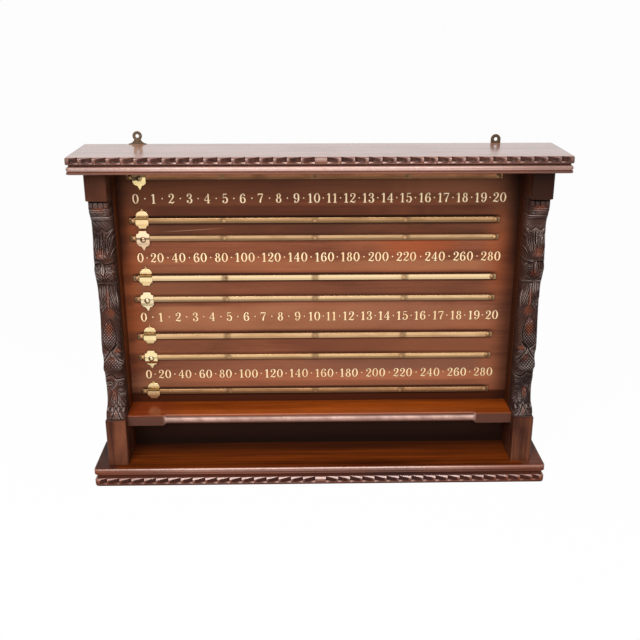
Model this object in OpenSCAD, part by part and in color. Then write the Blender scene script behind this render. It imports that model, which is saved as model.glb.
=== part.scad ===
// Wall-hung snooker scoreboard of carved, polished hardwood.
// A cornice board and a base board, both with a chip-carved front edge, are joined by two
// side panels with carved posts on their front edges. The score board is let into the back,
// above a small shelf, and carries eight brass rails. Each rail holds one sliding pointer.
// Width runs along X, the front faces -Y and height runs along Z. The wall face is the back.
// The origin is under the middle of the cornice, on the plane that the base stands on.

/* [Case width] */
// Clear width between the two side panels
inner_w = 794; // [700:1:1000]
// Thickness of each side panel
side_t = 22; // [18:0.5:30]
// Width of each carved post
post_w = 41; // [32:0.5:60]
// Reach of the cornice past the outside of each post
cornice_side_reach = 19; // [10:0.5:40]
// Reach of the base past the outside of each post
base_side_reach = 28.5; // [12:0.5:45]

/* [Case depth] */
// Depth of each side panel, from the wall face to the back of the post
side_d = 48; // [44:0.5:70]
// Depth of each post block, from the side panel to the front of its plinth
post_d = 60; // [50:0.5:90]
// Reach of the cornice past the front of the posts
cornice_front_reach = 51; // [20:0.5:80]
// Reach of the base past the front of the posts
base_front_reach = 17; // [12:0.5:60]
// Thickness of the score board
board_t = 14; // [11:0.5:18]
// Depth of the shelf in front of the score board
shelf_d = 68.5; // [60:0.5:75]

/* [Case height] */
// Thickness of the cornice board
cornice_t = 30.8; // [30:0.2:40]
// Thickness of the base board
base_t = 39.4; // [38:0.2:50]
// Height of the open compartment under the shelf
compartment_h = 76.9; // [50:0.1:120]
// Thickness of the shelf
shelf_t = 22.8; // [18:0.1:30]
// Height of the plinth block at the foot of each post
plinth_h = 100.2; // [80:0.1:140]
// Height of the plain block at the top of each post
cap_h = 59; // [40:0.5:90]

/* [Score rows] */
// Lowest rail above the shelf
lower_margin = 25.6; // [20:0.1:60]
// Row four, between the middles of its two rails
row_4_gap = 78.4; // [70:0.1:120]
// Space between the two rails that part rows three and four
rails_6_7_gap = 46.8; // [34:0.1:70]
// Row three, between the middles of its two rails
row_3_gap = 80.9; // [70:0.1:120]
// Space between the two rails that part rows two and three
rails_4_5_gap = 45; // [34:0.1:70]
// Row two, between the middles of its two rails
row_2_gap = 83; // [70:0.1:120]
// Space between the two rails that part rows one and two
rails_2_3_gap = 35.8; // [34:0.1:70]
// Row one, between the middles of its two rails
row_1_gap = 87.2; // [70:0.1:120]
// Highest rail below the cornice
upper_margin = 30.4; // [20:0.1:60]

/* [Rails] */
// Height of a rail's head
rail_h = 11; // [10:0.1:12]
// Thickness of a rail's head
rail_head_t = 2.5; // [2.2:0.1:4]
// Width of the web that holds the head off the board
rail_web_w = 5; // [4.6:0.1:5.5]
// Depth of that web
rail_web_d = 3; // [2.6:0.1:5]
// Gap between the left end of a rail and the side panel
rail_left_gap = 20; // [6:0.5:60]
// Gap between the right end of a rail and the side panel
rail_right_gap = 38; // [6:0.5:60]
// Distance of an end screw from the end of its rail
rail_screw_inset = 8; // [6:0.5:20]
// Number of screws in each rail
rail_screw_count = 5; // [3:1:9]

/* [Pointers] */
// Width of a pointer
pointer_w = 25.4; // [20:0.1:30]
// Reach of a downward tip from the middle of its rail
down_tip_reach = 25.5; // [24:0.1:32]
// Reach of an upward tip from the middle of its rail
up_tip_reach = 23.8; // [22:0.1:32]
// Reach of a pointer's tab from the middle of its rail
tab_reach = 15.5; // [14:0.1:16.5]
// Width of the tab between its two notches
tab_w = 13.8; // [8:0.1:16]
// Thickness of the brass sheet
sheet_t = 1.3; // [1:0.05:1.4]
// Play between a pointer and its rail
pointer_play = 0.4; // [0.2:0.05:0.6]
// Gap between a resting pointer and the head of its stop screw
rest_gap = 0.2; // [0.1:0.05:2]
// Radius of the round boss on the pointers that point down
boss_r = 5.2; // [3:0.1:6]
// Rise of that boss above the fold in the sheet
boss_rise = 1; // [0.4:0.1:2]

/* [Edge mouldings] */
// Width of the cornice's edge moulding, which is also its corner radius
cornice_edge = 8; // [7:0.5:12]
// Height of the cornice's carved band
cornice_band_h = 12.6; // [11.5:0.1:14]
// Radius of the cornice's half-round bead
bead_r = 3.8; // [3:0.05:3.9]
// Width of the base's edge moulding, which is also its corner radius
base_edge = 10; // [8:0.5:14]
// Height of the base's carved band
base_band_h = 14.6; // [12:0.1:16]
// Number of chips on each side of the plain middle block
chip_count = 18; // [8:1:24]
// Width of the plain middle block
chip_block_w = 22.4; // [10:0.1:40]
// Depth of a chip at its deep end
chip_depth = 5.5; // [3:0.1:6]
// Width left standing between two chips
chip_land = 2.4; // [1.5:0.1:4]

/* [Hangers] */
// Thickness of a hanger plate
hanger_t = 2.4; // [2.2:0.1:4]
// Radius of the hole that the wall screw goes through
hanger_hole_r = 3.4; // [2.5:0.1:4.5]
// Left hanger, distance of its middle from the side panel
left_hanger_inset = 45; // [25:1:150]
// Left hanger, height of its hole above the cornice
left_hole_rise = 15.5; // [13:0.1:25]
// Left hanger, radius of its round eye
eye_r = 9.15; // [8:0.05:12]
// Left hanger, width of its foot
foot_w = 35; // [30:0.5:50]
// Right hanger, distance of its middle from the side panel
right_hanger_inset = 53; // [25:1:150]
// Right hanger, height of its hole above the cornice
right_hole_rise = 7.5; // [6:0.1:20]
// Right hanger, width of its strap
strap_w = 19; // [16:0.5:24]
// Length of each plate behind the cornice
hanger_tail = 25; // [22:0.5:27]

/* [Joints and fasteners] */
// Width of the lap between the score board and a side panel
board_lap = 8; // [7:0.5:12]
// Depth of the housing that a shelf end sits in
housing_depth = 6; // [4:0.5:10]
// Clearance in the wooden joints
wood_gap = 0.1; // [0.05:0.05:0.3]
// Radius of a dowel between the cornice and a side
dowel_r = 5; // [4:0.1:6]
// Length of such a dowel
dowel_l = 36; // [24:1:40]
// Shank radius of the screws through the base
base_screw_r = 2.4; // [2:0.1:3]
// Length of the screws through the base
base_screw_l = 65; // [60:1:80]
// Shank radius of the small screws
small_screw_r = 1.5; // [1.2:0.05:1.6]
// Length of the screws that hold a rail
rail_screw_l = 15; // [12:0.5:16]
// Length of the screws that hold the score board
board_screw_l = 26; // [20:0.5:34]
// Length of the screws that hold the shelf
shelf_screw_l = 42; // [30:0.5:50]
// Length of the screws that hold a hanger
hanger_screw_l = 16; // [12:0.5:24]
// Head radius of the stop screws at the ends of each rail
stop_head_r = 5; // [3.5:0.1:5]
// Height of that head
stop_head_h = 2.6; // [2:0.1:3.5]

/* [Hidden] */

// Half widths of the case
inner_x = inner_w / 2;
outer_x = inner_x + post_w;
cornice_x = outer_x + cornice_side_reach;
base_x = outer_x + base_side_reach;

// Distances in front of the wall face
post_front = side_d + post_d;
cornice_d = post_front + cornice_front_reach;
base_d = post_front + base_front_reach;
shelf_front = board_t + shelf_d;

// Heights above the plane that the base stands on
shelf_z = base_t + compartment_h;
shelf_top = shelf_z + shelf_t;
rail_8_z = shelf_top + lower_margin;
rail_7_z = rail_8_z + row_4_gap;
rail_6_z = rail_7_z + rails_6_7_gap;
rail_5_z = rail_6_z + row_3_gap;
rail_4_z = rail_5_z + rails_4_5_gap;
rail_3_z = rail_4_z + row_2_gap;
rail_2_z = rail_3_z + rails_2_3_gap;
rail_1_z = rail_2_z + row_1_gap;
rail_heights = [rail_1_z, rail_2_z, rail_3_z, rail_4_z, rail_5_z, rail_6_z, rail_7_z, rail_8_z];
cornice_z = rail_1_z + upper_margin;
top_z = cornice_z + cornice_t;
plinth_top = base_t + plinth_h;
cap_z = cornice_z - cap_h;

// Number of sides of round forms, and how far a cutter runs past what it cuts
round_fn = 48;
past = 1;

// Rails and the places of their screws
rail_x0 = -inner_x + rail_left_gap;
rail_x1 = inner_x - rail_right_gap;
screw_x0 = rail_x0 + rail_screw_inset;
screw_x1 = rail_x1 - rail_screw_inset;
screw_pitch = (screw_x1 - screw_x0) / (rail_screw_count - 1);
rail_face = rail_web_d + rail_head_t;
rail_bevel = 0.6;
screw_head_r = 3;
screw_head_h = 1.8;
pilot = 0.05;

// Pointers: t runs along Z from the middle of the rail towards the tip,
// and d runs forward from the face of the score board
channel_t = rail_h / 2 + pointer_play;
wall_t = channel_t + sheet_t;
face_back = rail_face + pointer_play;
face_d = face_back + sheet_t;
lip_back = 0.9;
lip_front = rail_web_d - pointer_play;
lip_t = rail_web_w / 2 + pointer_play;
tab_d = 4.5;
step_t = wall_t + 1.7;
slope_start = channel_t + 0.4;
slope_end = slope_start + 2.8;
flange_d = 2.5;
tip_d = 1.6;
fold_t = -0.5;
fold_rise = 1.1;
bend_t = 14;
bend_d = 4;
notch_t = -9.5;
notch_r = (pointer_w - tab_w) / 2;
boss_t = 1.5;
shoulder_steps = 10;
// Half outlines as [x, t]: points of the tip, then the two ends and two pulls of the shoulder's curve
up_tip = [[0.4, up_tip_reach], [2.5, up_tip_reach - 4], [1.9, up_tip_reach - 5]];
down_tip = [[0.4, down_tip_reach], [4.5, down_tip_reach - 8.4]];
up_shoulder = [[3, up_tip_reach - 5.2], [8.6, up_tip_reach - 5.8], [12, up_tip_reach - 9.5], [pointer_w / 2, 8]];
down_shoulder = [[4.8, down_tip_reach - 8.5], [8.5, down_tip_reach - 8.9], [pointer_w / 2, 13.5], [pointer_w / 2, 9]];
pointer_x = screw_x0 + stop_head_r + rest_gap + pointer_w / 2;
tips_up = [false, true, false, true, false, true, false, true];

// Edge mouldings, with heights above the underside of their board
groove_depth = 4;
core_overlap = 2;
fascia_h = 6.2;
fascia_inset = 0.6;
bead_inset = 0.4;
cornice_band_z = cornice_t - cornice_band_h;
nosing_h = 13.7;
nosing_z = base_t - nosing_h;
nosing_r = 4.5;
nosing_line_z = nosing_z + 4.4;
nosing_line_w = 1.6;
ledge_h = 3.4;
ledge_run = 2.6;
chip_rise = 3.2;
cornice_chip_floor = cornice_band_z + 0.7;
base_chip_floor = 1;

// Shelf edge, whose moulding stops short of both ends
nose_stop = 71;
nose_x = inner_x - nose_stop;
nose_top_r = 2.6;
nose_under_h = 5.1;
nose_under_d = 6;

// Posts
cap_chamfer = 3.5;
plinth_chamfer = 2.5;
carve_inset = 1;
carve_sink = 0.5;
carve_columns = 19;
carve_rows = 130;
carve_half = post_w / 2 - carve_inset;
carve_h = cap_z - plinth_top;
edge_round = 4.5;

// Profile of the carving: share of its height, and distance behind the face of the plinth
carve_profile = [
    [0, 5], [0.03, 10], [0.054, 25], [0.12, 31.5], [0.17, 28], [0.206, 26], [0.235, 17.5],
    [0.262, 24.5], [0.29, 25], [0.314, 20], [0.37, 21.5], [0.457, 29], [0.548, 30.5],
    [0.618, 28], [0.66, 20], [0.693, 14.5], [0.726, 18.5], [0.78, 21], [0.836, 27],
    [0.865, 27], [0.91, 23], [0.955, 13], [1, 12.7]
];

// Swellings and hollows of the carving: place across, from -1 outside to 1 inside, share of its height,
// half width and half height as such shares, and rise
carve_spots = [
    [-0.78, 0.977, 0.19, 0.01, 1.8], [-0.27, 0.977, 0.2, 0.011, 2], [0.25, 0.977, 0.2, 0.011, 2],
    [0.77, 0.977, 0.19, 0.01, 1.8], [-0.24, 0.75, 0.6, 0.016, 1.2], [-0.78, 0.695, 0.2, 0.01, 1.6],
    [0.62, 0.694, 0.2, 0.01, 1.6], [-0.12, 0.692, 0.2, 0.028, 2.6], [-0.57, 0.635, 0.34, 0.008, 1.4],
    [0.18, 0.634, 0.34, 0.008, 1.3],
    [-0.1, 0.396, 0.7, 0.071, 2.2], [-0.69, 0.306, 0.25, 0.011, 1.2], [0.64, 0.302, 0.3, 0.012, 1.4],
    [-0.03, 0.243, 0.85, 0.035, 2.4], [-0.44, 0.159, 0.4, 0.016, 2], [0.64, 0.159, 0.34, 0.012, 1.4],
    [0.56, 0.125, 0.32, 0.009, 1.6], [-0.85, 0.042, 0.14, 0.008, 2.4], [-0.38, 0.042, 0.16, 0.008, 2.6],
    [0.25, 0.042, 0.16, 0.009, 2.6], [0.79, 0.041, 0.15, 0.009, 2.6]
];

// Ribs and cuts of the carving: half width, rise, and both ends as [place across, share of its height]
carve_strokes = [
    [2.6, -2.2, [-1, 0.991], [1, 0.991]], [3.2, 1.8, [-1, 0.922], [1, 0.922]], [2.4, -1.8, [-1, 0.909], [1, 0.909]],
    [2.6, 1.7, [-0.81, 0.859], [-0.42, 0.8]], [2.4, 1.6, [-0.42, 0.8], [-0.42, 0.777]],
    [2.4, 1.8, [-0.18, 0.848], [-0.26, 0.778]], [2.4, 1.8, [0.23, 0.846], [0.15, 0.773]],
    [2.6, 1.8, [0.91, 0.859], [0.5, 0.8]], [2.4, -1.6, [0, 0.848], [-0.06, 0.783]],
    [2.4, -1.6, [-0.6, 0.853], [-0.53, 0.803]], [2.4, -1.6, [0.46, 0.828], [0.24, 0.774]],
    [3, 2, [-1, 0.73], [-0.36, 0.728]], [3, 2, [-0.36, 0.728], [0.31, 0.732]], [3, 2, [0.31, 0.732], [1, 0.729]],
    [3, -2.6, [-1, 0.717], [-0.3, 0.715]], [3, -2.6, [0.1, 0.715], [1, 0.717]],
    [2.4, -2.2, [-0.45, 0.711], [-0.42, 0.684]], [2.4, -2.2, [0.2, 0.711], [0.24, 0.684]],
    [2.4, -2.2, [-0.5, 0.68], [-0.95, 0.678]], [2.4, -2.2, [0.32, 0.68], [0.85, 0.677]],
    [2.4, 1.6, [-0.9, 0.668], [-0.22, 0.642]], [2.4, 1.6, [0.6, 0.668], [-0.1, 0.642]],
    [2.6, -2.6, [-1, 0.626], [1, 0.626]], [3, 2.4, [0.05, 0.616], [-0.03, 0.517]],
    [2.6, -1.8, [-0.58, 0.62], [-0.7, 0.57]], [2.6, -2, [0.28, 0.618], [0.78, 0.52]],
    [2.6, -1.8, [-0.25, 0.572], [-0.9, 0.518]], [2.4, 1.6, [-0.26, 0.556], [-0.8, 0.516]],
    [2.4, 1.6, [0.13, 0.566], [0.45, 0.524]], [2.6, 1, [-0.05, 0.52], [-0.14, 0.47]],
    [2.6, -1.6, [-0.13, 0.466], [-0.83, 0.395]], [2.6, -1.6, [-0.13, 0.466], [0.67, 0.395]],
    [2.6, -1.6, [-0.83, 0.395], [-0.22, 0.33]], [2.6, -1.6, [0.67, 0.395], [-0.22, 0.33]],
    [3, -3, [-0.05, 0.324], [-1, 0.265]], [3, -3, [0, 0.324], [1, 0.259]], [3.4, -3.4, [-1, 0.188], [-0.1, 0.2]],
    [3.4, -3.4, [-0.1, 0.2], [1, 0.186]], [2.6, -2.4, [0.3, 0.174], [-0.5, 0.127]],
    [2.6, -2.4, [0.2, 0.118], [1, 0.106]], [2.6, 2, [-0.23, 0.11], [-0.6, 0.065]], [2.6, 1.8, [0, 0.106], [0, 0.065]],
    [3, -3, [-0.05, 0.047], [-0.5, 0.002]], [3, -3, [-0.05, 0.047], [0.56, 0.002]]
];

// Hangers
left_hanger_x = inner_x - left_hanger_inset;
right_hanger_x = inner_x - right_hanger_inset;
hanger_screw_margin = 6;
foot_rise = 1;
neck_w = 11;
hanger_screw_step = 10;

// Dowels and screws in the case
dowel_cover = 1.5;
post_dowel_d = 22;
dowel_marks = [[inner_x + side_t / 2, board_t + dowel_r + dowel_cover],
    [inner_x + side_t / 2, side_d - dowel_r - 2 * dowel_cover],
    [inner_x + post_w / 2, side_d + post_dowel_d]];
base_head_r = 4.6;
base_head_h = 2.6;
board_screw_x = inner_x + board_lap / 2;
board_screw_count = 4;
board_screw_margin = 60;
shelf_screw_pitch = 250;

// Moves the wall face from y = 0 to the back of the frame
module in_frame() translate([0, cornice_d / 2, 0]) children();

// Places its children at x, at distance d in front of the wall face and at height z
module at(x = 0, d = 0, z = 0) translate([x, -d, z]) children();

// Box from x0 to x1, from d0 to d1 in front of the wall face and from z0 to z1
module block(x0, x1, d0, d1, z0, z1) at(x0, d1, z0) cube([x1 - x0, d1 - d0, z1 - z0]);

// Outline in X and Z, as seen from the front, given depth from d0 to d1
module from_front(d0, d1) at(0, d0, 0) rotate([90, 0, 0]) linear_extrude(d1 - d0) children();

// Section drawn with d along its x and height along its y, run from x0 to x1
module along_x(x0, x1)
    at(x0, 0, 0) rotate([90, 0, 90]) mirror([1, 0, 0]) linear_extrude(x1 - x0) children();

// The children and their mirror image on the other side of the case
module both_sides() {
    children();
    mirror([1, 0, 0]) children();
}

// Countersunk wood screw, its head's top at the origin and its tip towards -Z
module flush_screw(r, l, head_r, head_h) rotate_extrude($fn = round_fn)
    polygon([[0, 0], [head_r, 0], [r, -head_h], [r, -l + 2 * r], [0, -l]]);

// Hole for that screw, a little wider and open at the top
module flush_hole(r, l, head_r, head_h) rotate_extrude($fn = round_fn)
    polygon([[0, past], [head_r + pilot, past], [head_r + pilot, 0], [r + pilot, -head_h],
        [r + pilot, -l], [0, -l]]);

// Section of the cornice's edge, outwards along x: fascia, bead, groove and carved band
module cornice_section() {
    square([cornice_edge - groove_depth, cornice_t]);
    square([cornice_edge - fascia_inset, fascia_h]);
    translate([cornice_edge - bead_inset - bead_r, fascia_h + bead_r]) circle(r = bead_r, $fn = round_fn);
    translate([0, cornice_band_z]) square([cornice_edge, cornice_band_h]);
}

// Section of the base's edge: carved band with a sloping ledge, groove, and nosing with one line
module base_section() difference() {
    union() {
        square([base_edge - groove_depth, base_t]);
        polygon([[0, 0], [base_edge, 0], [base_edge, base_band_h],
            [base_edge - ledge_run, base_band_h + ledge_h], [0, base_band_h + ledge_h]]);
        translate([0, nosing_z]) square([base_edge, nosing_h - nosing_r]);
        translate([0, nosing_z]) square([base_edge - nosing_r, nosing_h]);
        translate([base_edge - nosing_r, base_t - nosing_r]) circle(r = nosing_r, $fn = round_fn);
    }
    translate([base_edge, nosing_line_z]) rotate(45) square(nosing_line_w, center = true);
}

// Board with the section given run along its front and both ends, and turned round the corners
module moulded_board(half_w, depth, thick, edge) {
    reach = half_w - edge;
    block(-reach - core_overlap, reach + core_overlap, 0, depth - edge + core_overlap, 0, thick);
    along_x(-reach, reach) translate([depth - edge, 0]) children();
    both_sides() {
        at(reach, 0, 0) rotate([90, 0, 0]) linear_extrude(depth - edge) children();
        at(reach, depth - edge, 0) rotate([0, 0, -90]) rotate_extrude(angle = 90, $fn = round_fn) children();
    }
}

// Plan of a run of chips along x, cut inwards from y = 0, each with its deep end first
module chip_plan(count, pitch) for (i = [0 : count - 1])
    polygon([[i * pitch, past], [i * pitch, -chip_depth], [(i + 1) * pitch - chip_land, 0],
        [(i + 1) * pitch - chip_land, past]]);

// Section that bounds the chips: open above, with a floor that falls towards the front
module chip_section(floor_z, roof_z) {
    slope = chip_rise / chip_depth;
    polygon([[past, floor_z - slope * past], [past, roof_z], [-chip_depth - past, roof_z],
        [-chip_depth - past, floor_z + chip_rise + slope * past]]);
}

// All the chips of a board, on both halves of its front
module chips(half_w, depth, floor_z, roof_z) both_sides() intersection() {
    at(chip_block_w / 2, depth, 0) mirror([0, 1, 0]) linear_extrude(roof_z + past)
        chip_plan(chip_count, (half_w - chip_block_w / 2) / chip_count);
    along_x(0, half_w) translate([depth, 0]) chip_section(floor_z, roof_z);
}

// Places for the dowels and base screws: two in each side panel and one in each post
module at_case_marks(z) both_sides() for (mark = dowel_marks) at(mark[0], mark[1], z) children();

module dowel_shapes(gap) at_case_marks(cornice_z - dowel_l / 2 - gap)
    cylinder(r = dowel_r + gap, h = dowel_l + 2 * gap, $fn = round_fn);

module base_holes() at_case_marks(0) mirror([0, 0, 1])
    flush_hole(base_screw_r, base_screw_l, base_head_r, base_head_h);

// Places for the screws that hold the score board to the side panels, pointing to the front
module at_board_marks() both_sides() for (i = [0 : board_screw_count - 1])
    at(board_screw_x, 0, base_t + board_screw_margin
        + i * (cornice_z - base_t - 2 * board_screw_margin) / (board_screw_count - 1))
        rotate([-90, 0, 0]) children();

// Places for the screws that hold the shelf, pointing to the front
module at_shelf_marks() for (i = [-1 : 1])
    at(i * shelf_screw_pitch, 0, shelf_z + shelf_t / 2) rotate([-90, 0, 0]) children();

// Places for the screws of the hangers, pointing to the front
module at_hanger_marks() for (x = [-left_hanger_x, right_hanger_x], i = [0, 1])
    at(x, 0, top_z - hanger_tail + hanger_screw_margin + i * hanger_screw_step) rotate([-90, 0, 0]) children();

// Places for the screws of one rail, pointing to the wall: at both ends, or between them
module at_rail_ends(z) for (x = [screw_x0, screw_x1])
    at(x, board_t + rail_face, z) rotate([90, 0, 0]) children();

module at_rail_middles(z) for (i = [1 : rail_screw_count - 2])
    at(screw_x0 + i * screw_pitch, board_t + rail_face, z) rotate([90, 0, 0]) children();

// Round-headed screw with a slot, its head standing on the origin
module stop_screw() {
    dome_r = (stop_head_r * stop_head_r + stop_head_h * stop_head_h) / (2 * stop_head_h);
    slot_w = 1.1;
    slot_d = 1;
    difference() {
        intersection() {
            translate([0, 0, stop_head_h - dome_r]) sphere(r = dome_r, $fn = round_fn);
            cylinder(r = stop_head_r, h = stop_head_h, $fn = round_fn);
        }
        translate([-stop_head_r, -slot_w / 2, stop_head_h - slot_d])
            cube([2 * stop_head_r, slot_w, slot_d + past]);
    }
    translate([0, 0, -rail_screw_l]) cylinder(r = small_screw_r, h = rail_screw_l, $fn = round_fn);
}

// Everything that is drilled for the screws of one rail
module rail_drilling(z) {
    at_rail_ends(z) translate([0, 0, -rail_screw_l - pilot])
        cylinder(r = small_screw_r + pilot, h = rail_screw_l + pilot + past, $fn = round_fn);
    at_rail_middles(z) flush_hole(small_screw_r, rail_screw_l + pilot, screw_head_r, screw_head_h);
}

// T-shaped rail: a web against the board and a bevelled head in front of it
module score_rail(z) color("#c99a52") in_frame() difference() {
    along_x(rail_x0, rail_x1) translate([board_t, z]) {
        translate([0, -rail_web_w / 2]) square([rail_web_d + past, rail_web_w]);
        polygon([[rail_web_d, -rail_h / 2], [rail_face - rail_bevel, -rail_h / 2],
            [rail_face, -rail_h / 2 + rail_bevel], [rail_face, rail_h / 2 - rail_bevel],
            [rail_face - rail_bevel, rail_h / 2], [rail_web_d, rail_h / 2]]);
    }
    rail_drilling(z);
}

// Point at share s of the curve from c[0] to c[3], pulled towards c[1] and c[2]
function curve_at(c, s) = pow(1 - s, 3) * c[0] + 3 * s * pow(1 - s, 2) * c[1] + 3 * s * s * (1 - s) * c[2]
    + pow(s, 3) * c[3];

// Outline of a pointer as seen from the front: tip, shoulders, straight sides, two notches and a tab
module pointer_outline(tip, shoulder) difference() {
    half = concat(tip, [for (i = [0 : shoulder_steps]) curve_at(shoulder, i / shoulder_steps)],
        [[pointer_w / 2, -tab_reach]]);
    polygon(concat(half, [for (i = [len(half) - 1 : -1 : 0]) [-half[i][0], half[i][1]]]));
    for (side = [-1, 1]) translate([side * pointer_w / 2, notch_t - notch_r]) {
        circle(r = notch_r, $fn = round_fn);
        translate([side * notch_r / 2, -notch_r]) square([notch_r, 2 * notch_r], center = true);
    }
}

// Sheet of constant depth behind a front line given as points [d, t]
module sheet(front) polygon(concat(front,
    [for (i = [len(front) - 1 : -1 : 0]) front[i] - [sheet_t, 0]]));

// Front line of the sheet where the pointer points up, and where it points down
raised_front = [[tab_d, -tab_reach - past], [tab_d, -step_t], [face_d, -wall_t], [face_d, slope_start],
    [flange_d, slope_end], [tip_d, up_tip_reach + past]];
folded_front = [[face_d - fold_rise / 2, -tab_reach - past], [face_d + fold_rise, fold_t], [face_d, wall_t],
    [bend_d, bend_t], [tip_d, down_tip_reach + past]];

// Pointer around the origin, its tip towards +Z: sheet, and walls with lips behind the rail's head
module pointer_body(front, tip, shoulder) intersection() {
    from_front(0, face_d + fold_rise) pointer_outline(tip, shoulder);
    along_x(-pointer_w / 2, pointer_w / 2) {
        sheet(front);
        for (side = [-1, 1]) scale([1, side]) {
            translate([lip_back, channel_t]) square([face_back - lip_back + sheet_t / 2, sheet_t]);
            translate([lip_back, lip_t]) square([lip_front - lip_back, wall_t - lip_t]);
        }
    }
}

// Low round boss on the fold of a pointer that points down
module pointer_boss() {
    h = fold_rise + boss_rise;
    dome_r = (boss_r * boss_r + h * h) / (2 * h);
    at(0, face_d - sheet_t / 2, boss_t) rotate([90, 0, 0]) intersection() {
        translate([0, 0, h + sheet_t / 2 - dome_r]) sphere(r = dome_r, $fn = round_fn);
        cylinder(r = boss_r, h = h + sheet_t, $fn = round_fn);
    }
}

// Pointer on the rail with the number given, at rest against the left stop screw
module pointer(number) color("#e5c68a") in_frame() at(pointer_x, board_t, rail_heights[number - 1]) {
    if (tips_up[number - 1]) pointer_body(raised_front, up_tip, up_shoulder);
    else rotate([0, 180, 0]) {
        pointer_body(folded_front, down_tip, down_shoulder);
        pointer_boss();
    }
}

// Distance of the carved surface behind the face of the plinth, without its finer relief:
// a smooth curve through the points of the profile
function profile_at(h) = let (
    n = len(carve_profile),
    k = max([for (i = [0 : n - 2]) if (carve_profile[i][0] <= h) i]),
    a = carve_profile[max(k - 1, 0)], b = carve_profile[k],
    c = carve_profile[k + 1], e = carve_profile[min(k + 2, n - 1)],
    w = c[0] - b[0], s = (h - b[0]) / w,
    m0 = (c[1] - a[1]) / (c[0] - a[0]) * w, m1 = (e[1] - b[1]) / (e[0] - b[0]) * w)
    (2 * pow(s, 3) - 3 * s * s + 1) * b[1] + (pow(s, 3) - 2 * s * s + s) * m0
    + (3 * s * s - 2 * pow(s, 3)) * c[1] + (pow(s, 3) - s * s) * m1;

// Sum of a list of numbers
function sum(list) = list * [for (item = list) 1];

// Rise of one swelling or hollow at place a across the post and share h of its height
function spot_rise(s, a, h) = s[4] * sqrt(max(0, 1 - pow((a - s[0]) / s[2], 2) - pow((h - s[1]) / s[3], 2)));

// Rise of one rib or cut there: rounded across, and faded round its two ends
function stroke_rise(s, a, h) = let (
    scales = [carve_half, carve_h], p = [a * scales[0], h * scales[1]],
    p0 = [s[2][0] * scales[0], s[2][1] * scales[1]], v = [s[3][0] * scales[0], s[3][1] * scales[1]] - p0,
    t = max(0, min(1, (p - p0) * v / (v * v))), gap = min(norm(p - p0 - t * v) / s[0], 1))
    s[1] * (1 + cos(180 * gap)) / 2;

// Finer relief of the carving in front of its profile
function relief_at(a, h) = sum([for (s = carve_spots) spot_rise(s, a, h)])
    + sum([for (s = carve_strokes) stroke_rise(s, a, h)]);

// Point of the carved front: column across the post, row up the carving
function carve_point(i, j) = let (
    a = 1 - 2 * i / (carve_columns - 1), h = j / (carve_rows - 1))
    [inner_x + post_w / 2 - a * carve_half,
        -post_front + profile_at(h) + edge_round * pow(abs(a), 6) - relief_at(a, h),
        plinth_top - carve_sink + h * (cap_z - plinth_top + 2 * carve_sink)];

// Carved part of a post: the front is a net of points, the back and the sides are flat
module carving() {
    loop = carve_columns + 2;
    points = [for (j = [0 : carve_rows - 1]) each concat(
        [for (i = [0 : carve_columns - 1]) carve_point(i, j)],
        [let (p = carve_point(carve_columns - 1, j)) [p[0], -side_d, p[2]],
            let (p = carve_point(0, j)) [p[0], -side_d, p[2]]])];
    polyhedron(points, concat(
        [[for (i = [0 : loop - 1]) i]],
        [for (j = [0 : carve_rows - 2], i = [0 : loop - 1]) let (a = j * loop + i, b = j * loop + (i + 1) % loop)
            [a, a + loop, b]],
        [for (j = [0 : carve_rows - 2], i = [0 : loop - 1]) let (a = j * loop + i, b = j * loop + (i + 1) % loop)
            [b, a + loop, b + loop]],
        [[for (i = [loop - 1 : -1 : 0]) (carve_rows - 1) * loop + i]]));
}

// Square block of a post with its outer front edge bevelled
module post_block(z0, z1, bevel) at(0, 0, z0) mirror([0, 1, 0]) linear_extrude(z1 - z0)
    polygon([[inner_x, side_d], [outer_x, side_d], [outer_x, post_front - bevel],
        [outer_x - bevel, post_front], [inner_x, post_front]]);

// Right post with its holes; the left one is its mirror image
module right_post() difference() {
    union() {
        post_block(base_t, plinth_top, plinth_chamfer);
        carving();
        post_block(cap_z, cornice_z, cap_chamfer);
    }
    dowel_shapes(pilot);
    base_holes();
}

// Right side panel: a rebate for the score board and a housing for the shelf
module right_side() difference() {
    block(inner_x, inner_x + side_t, 0, side_d, base_t, cornice_z);
    block(inner_x - past, inner_x + board_lap, -past, board_t, base_t - past, cornice_z + past);
    block(inner_x - past, inner_x + housing_depth, board_t - past, side_d + past, shelf_z, shelf_top);
    dowel_shapes(pilot);
    base_holes();
    board_holes();
}

module board_holes() at_board_marks()
    flush_hole(small_screw_r, board_screw_l + pilot, screw_head_r, screw_head_h);

module shelf_holes() at_shelf_marks()
    flush_hole(small_screw_r, shelf_screw_l + pilot, screw_head_r, screw_head_h);

// What the shelf's edge moulding takes away: a rounded top edge and a hollow under the nose
module shelf_moulding() {
    along_x(-nose_x, nose_x) translate([shelf_front - nose_top_r, shelf_top - nose_top_r]) difference() {
        square(nose_top_r + past);
        circle(r = nose_top_r, $fn = round_fn);
    }
    at(0, 0, shelf_z - past) mirror([0, 1, 0]) linear_extrude(nose_under_h + past) {
        translate([-nose_x, shelf_front - nose_under_d]) square([2 * nose_x, nose_under_d + past]);
        for (x = [-nose_x, nose_x]) translate([x, shelf_front]) circle(r = nose_under_d, $fn = round_fn);
    }
}

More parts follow.
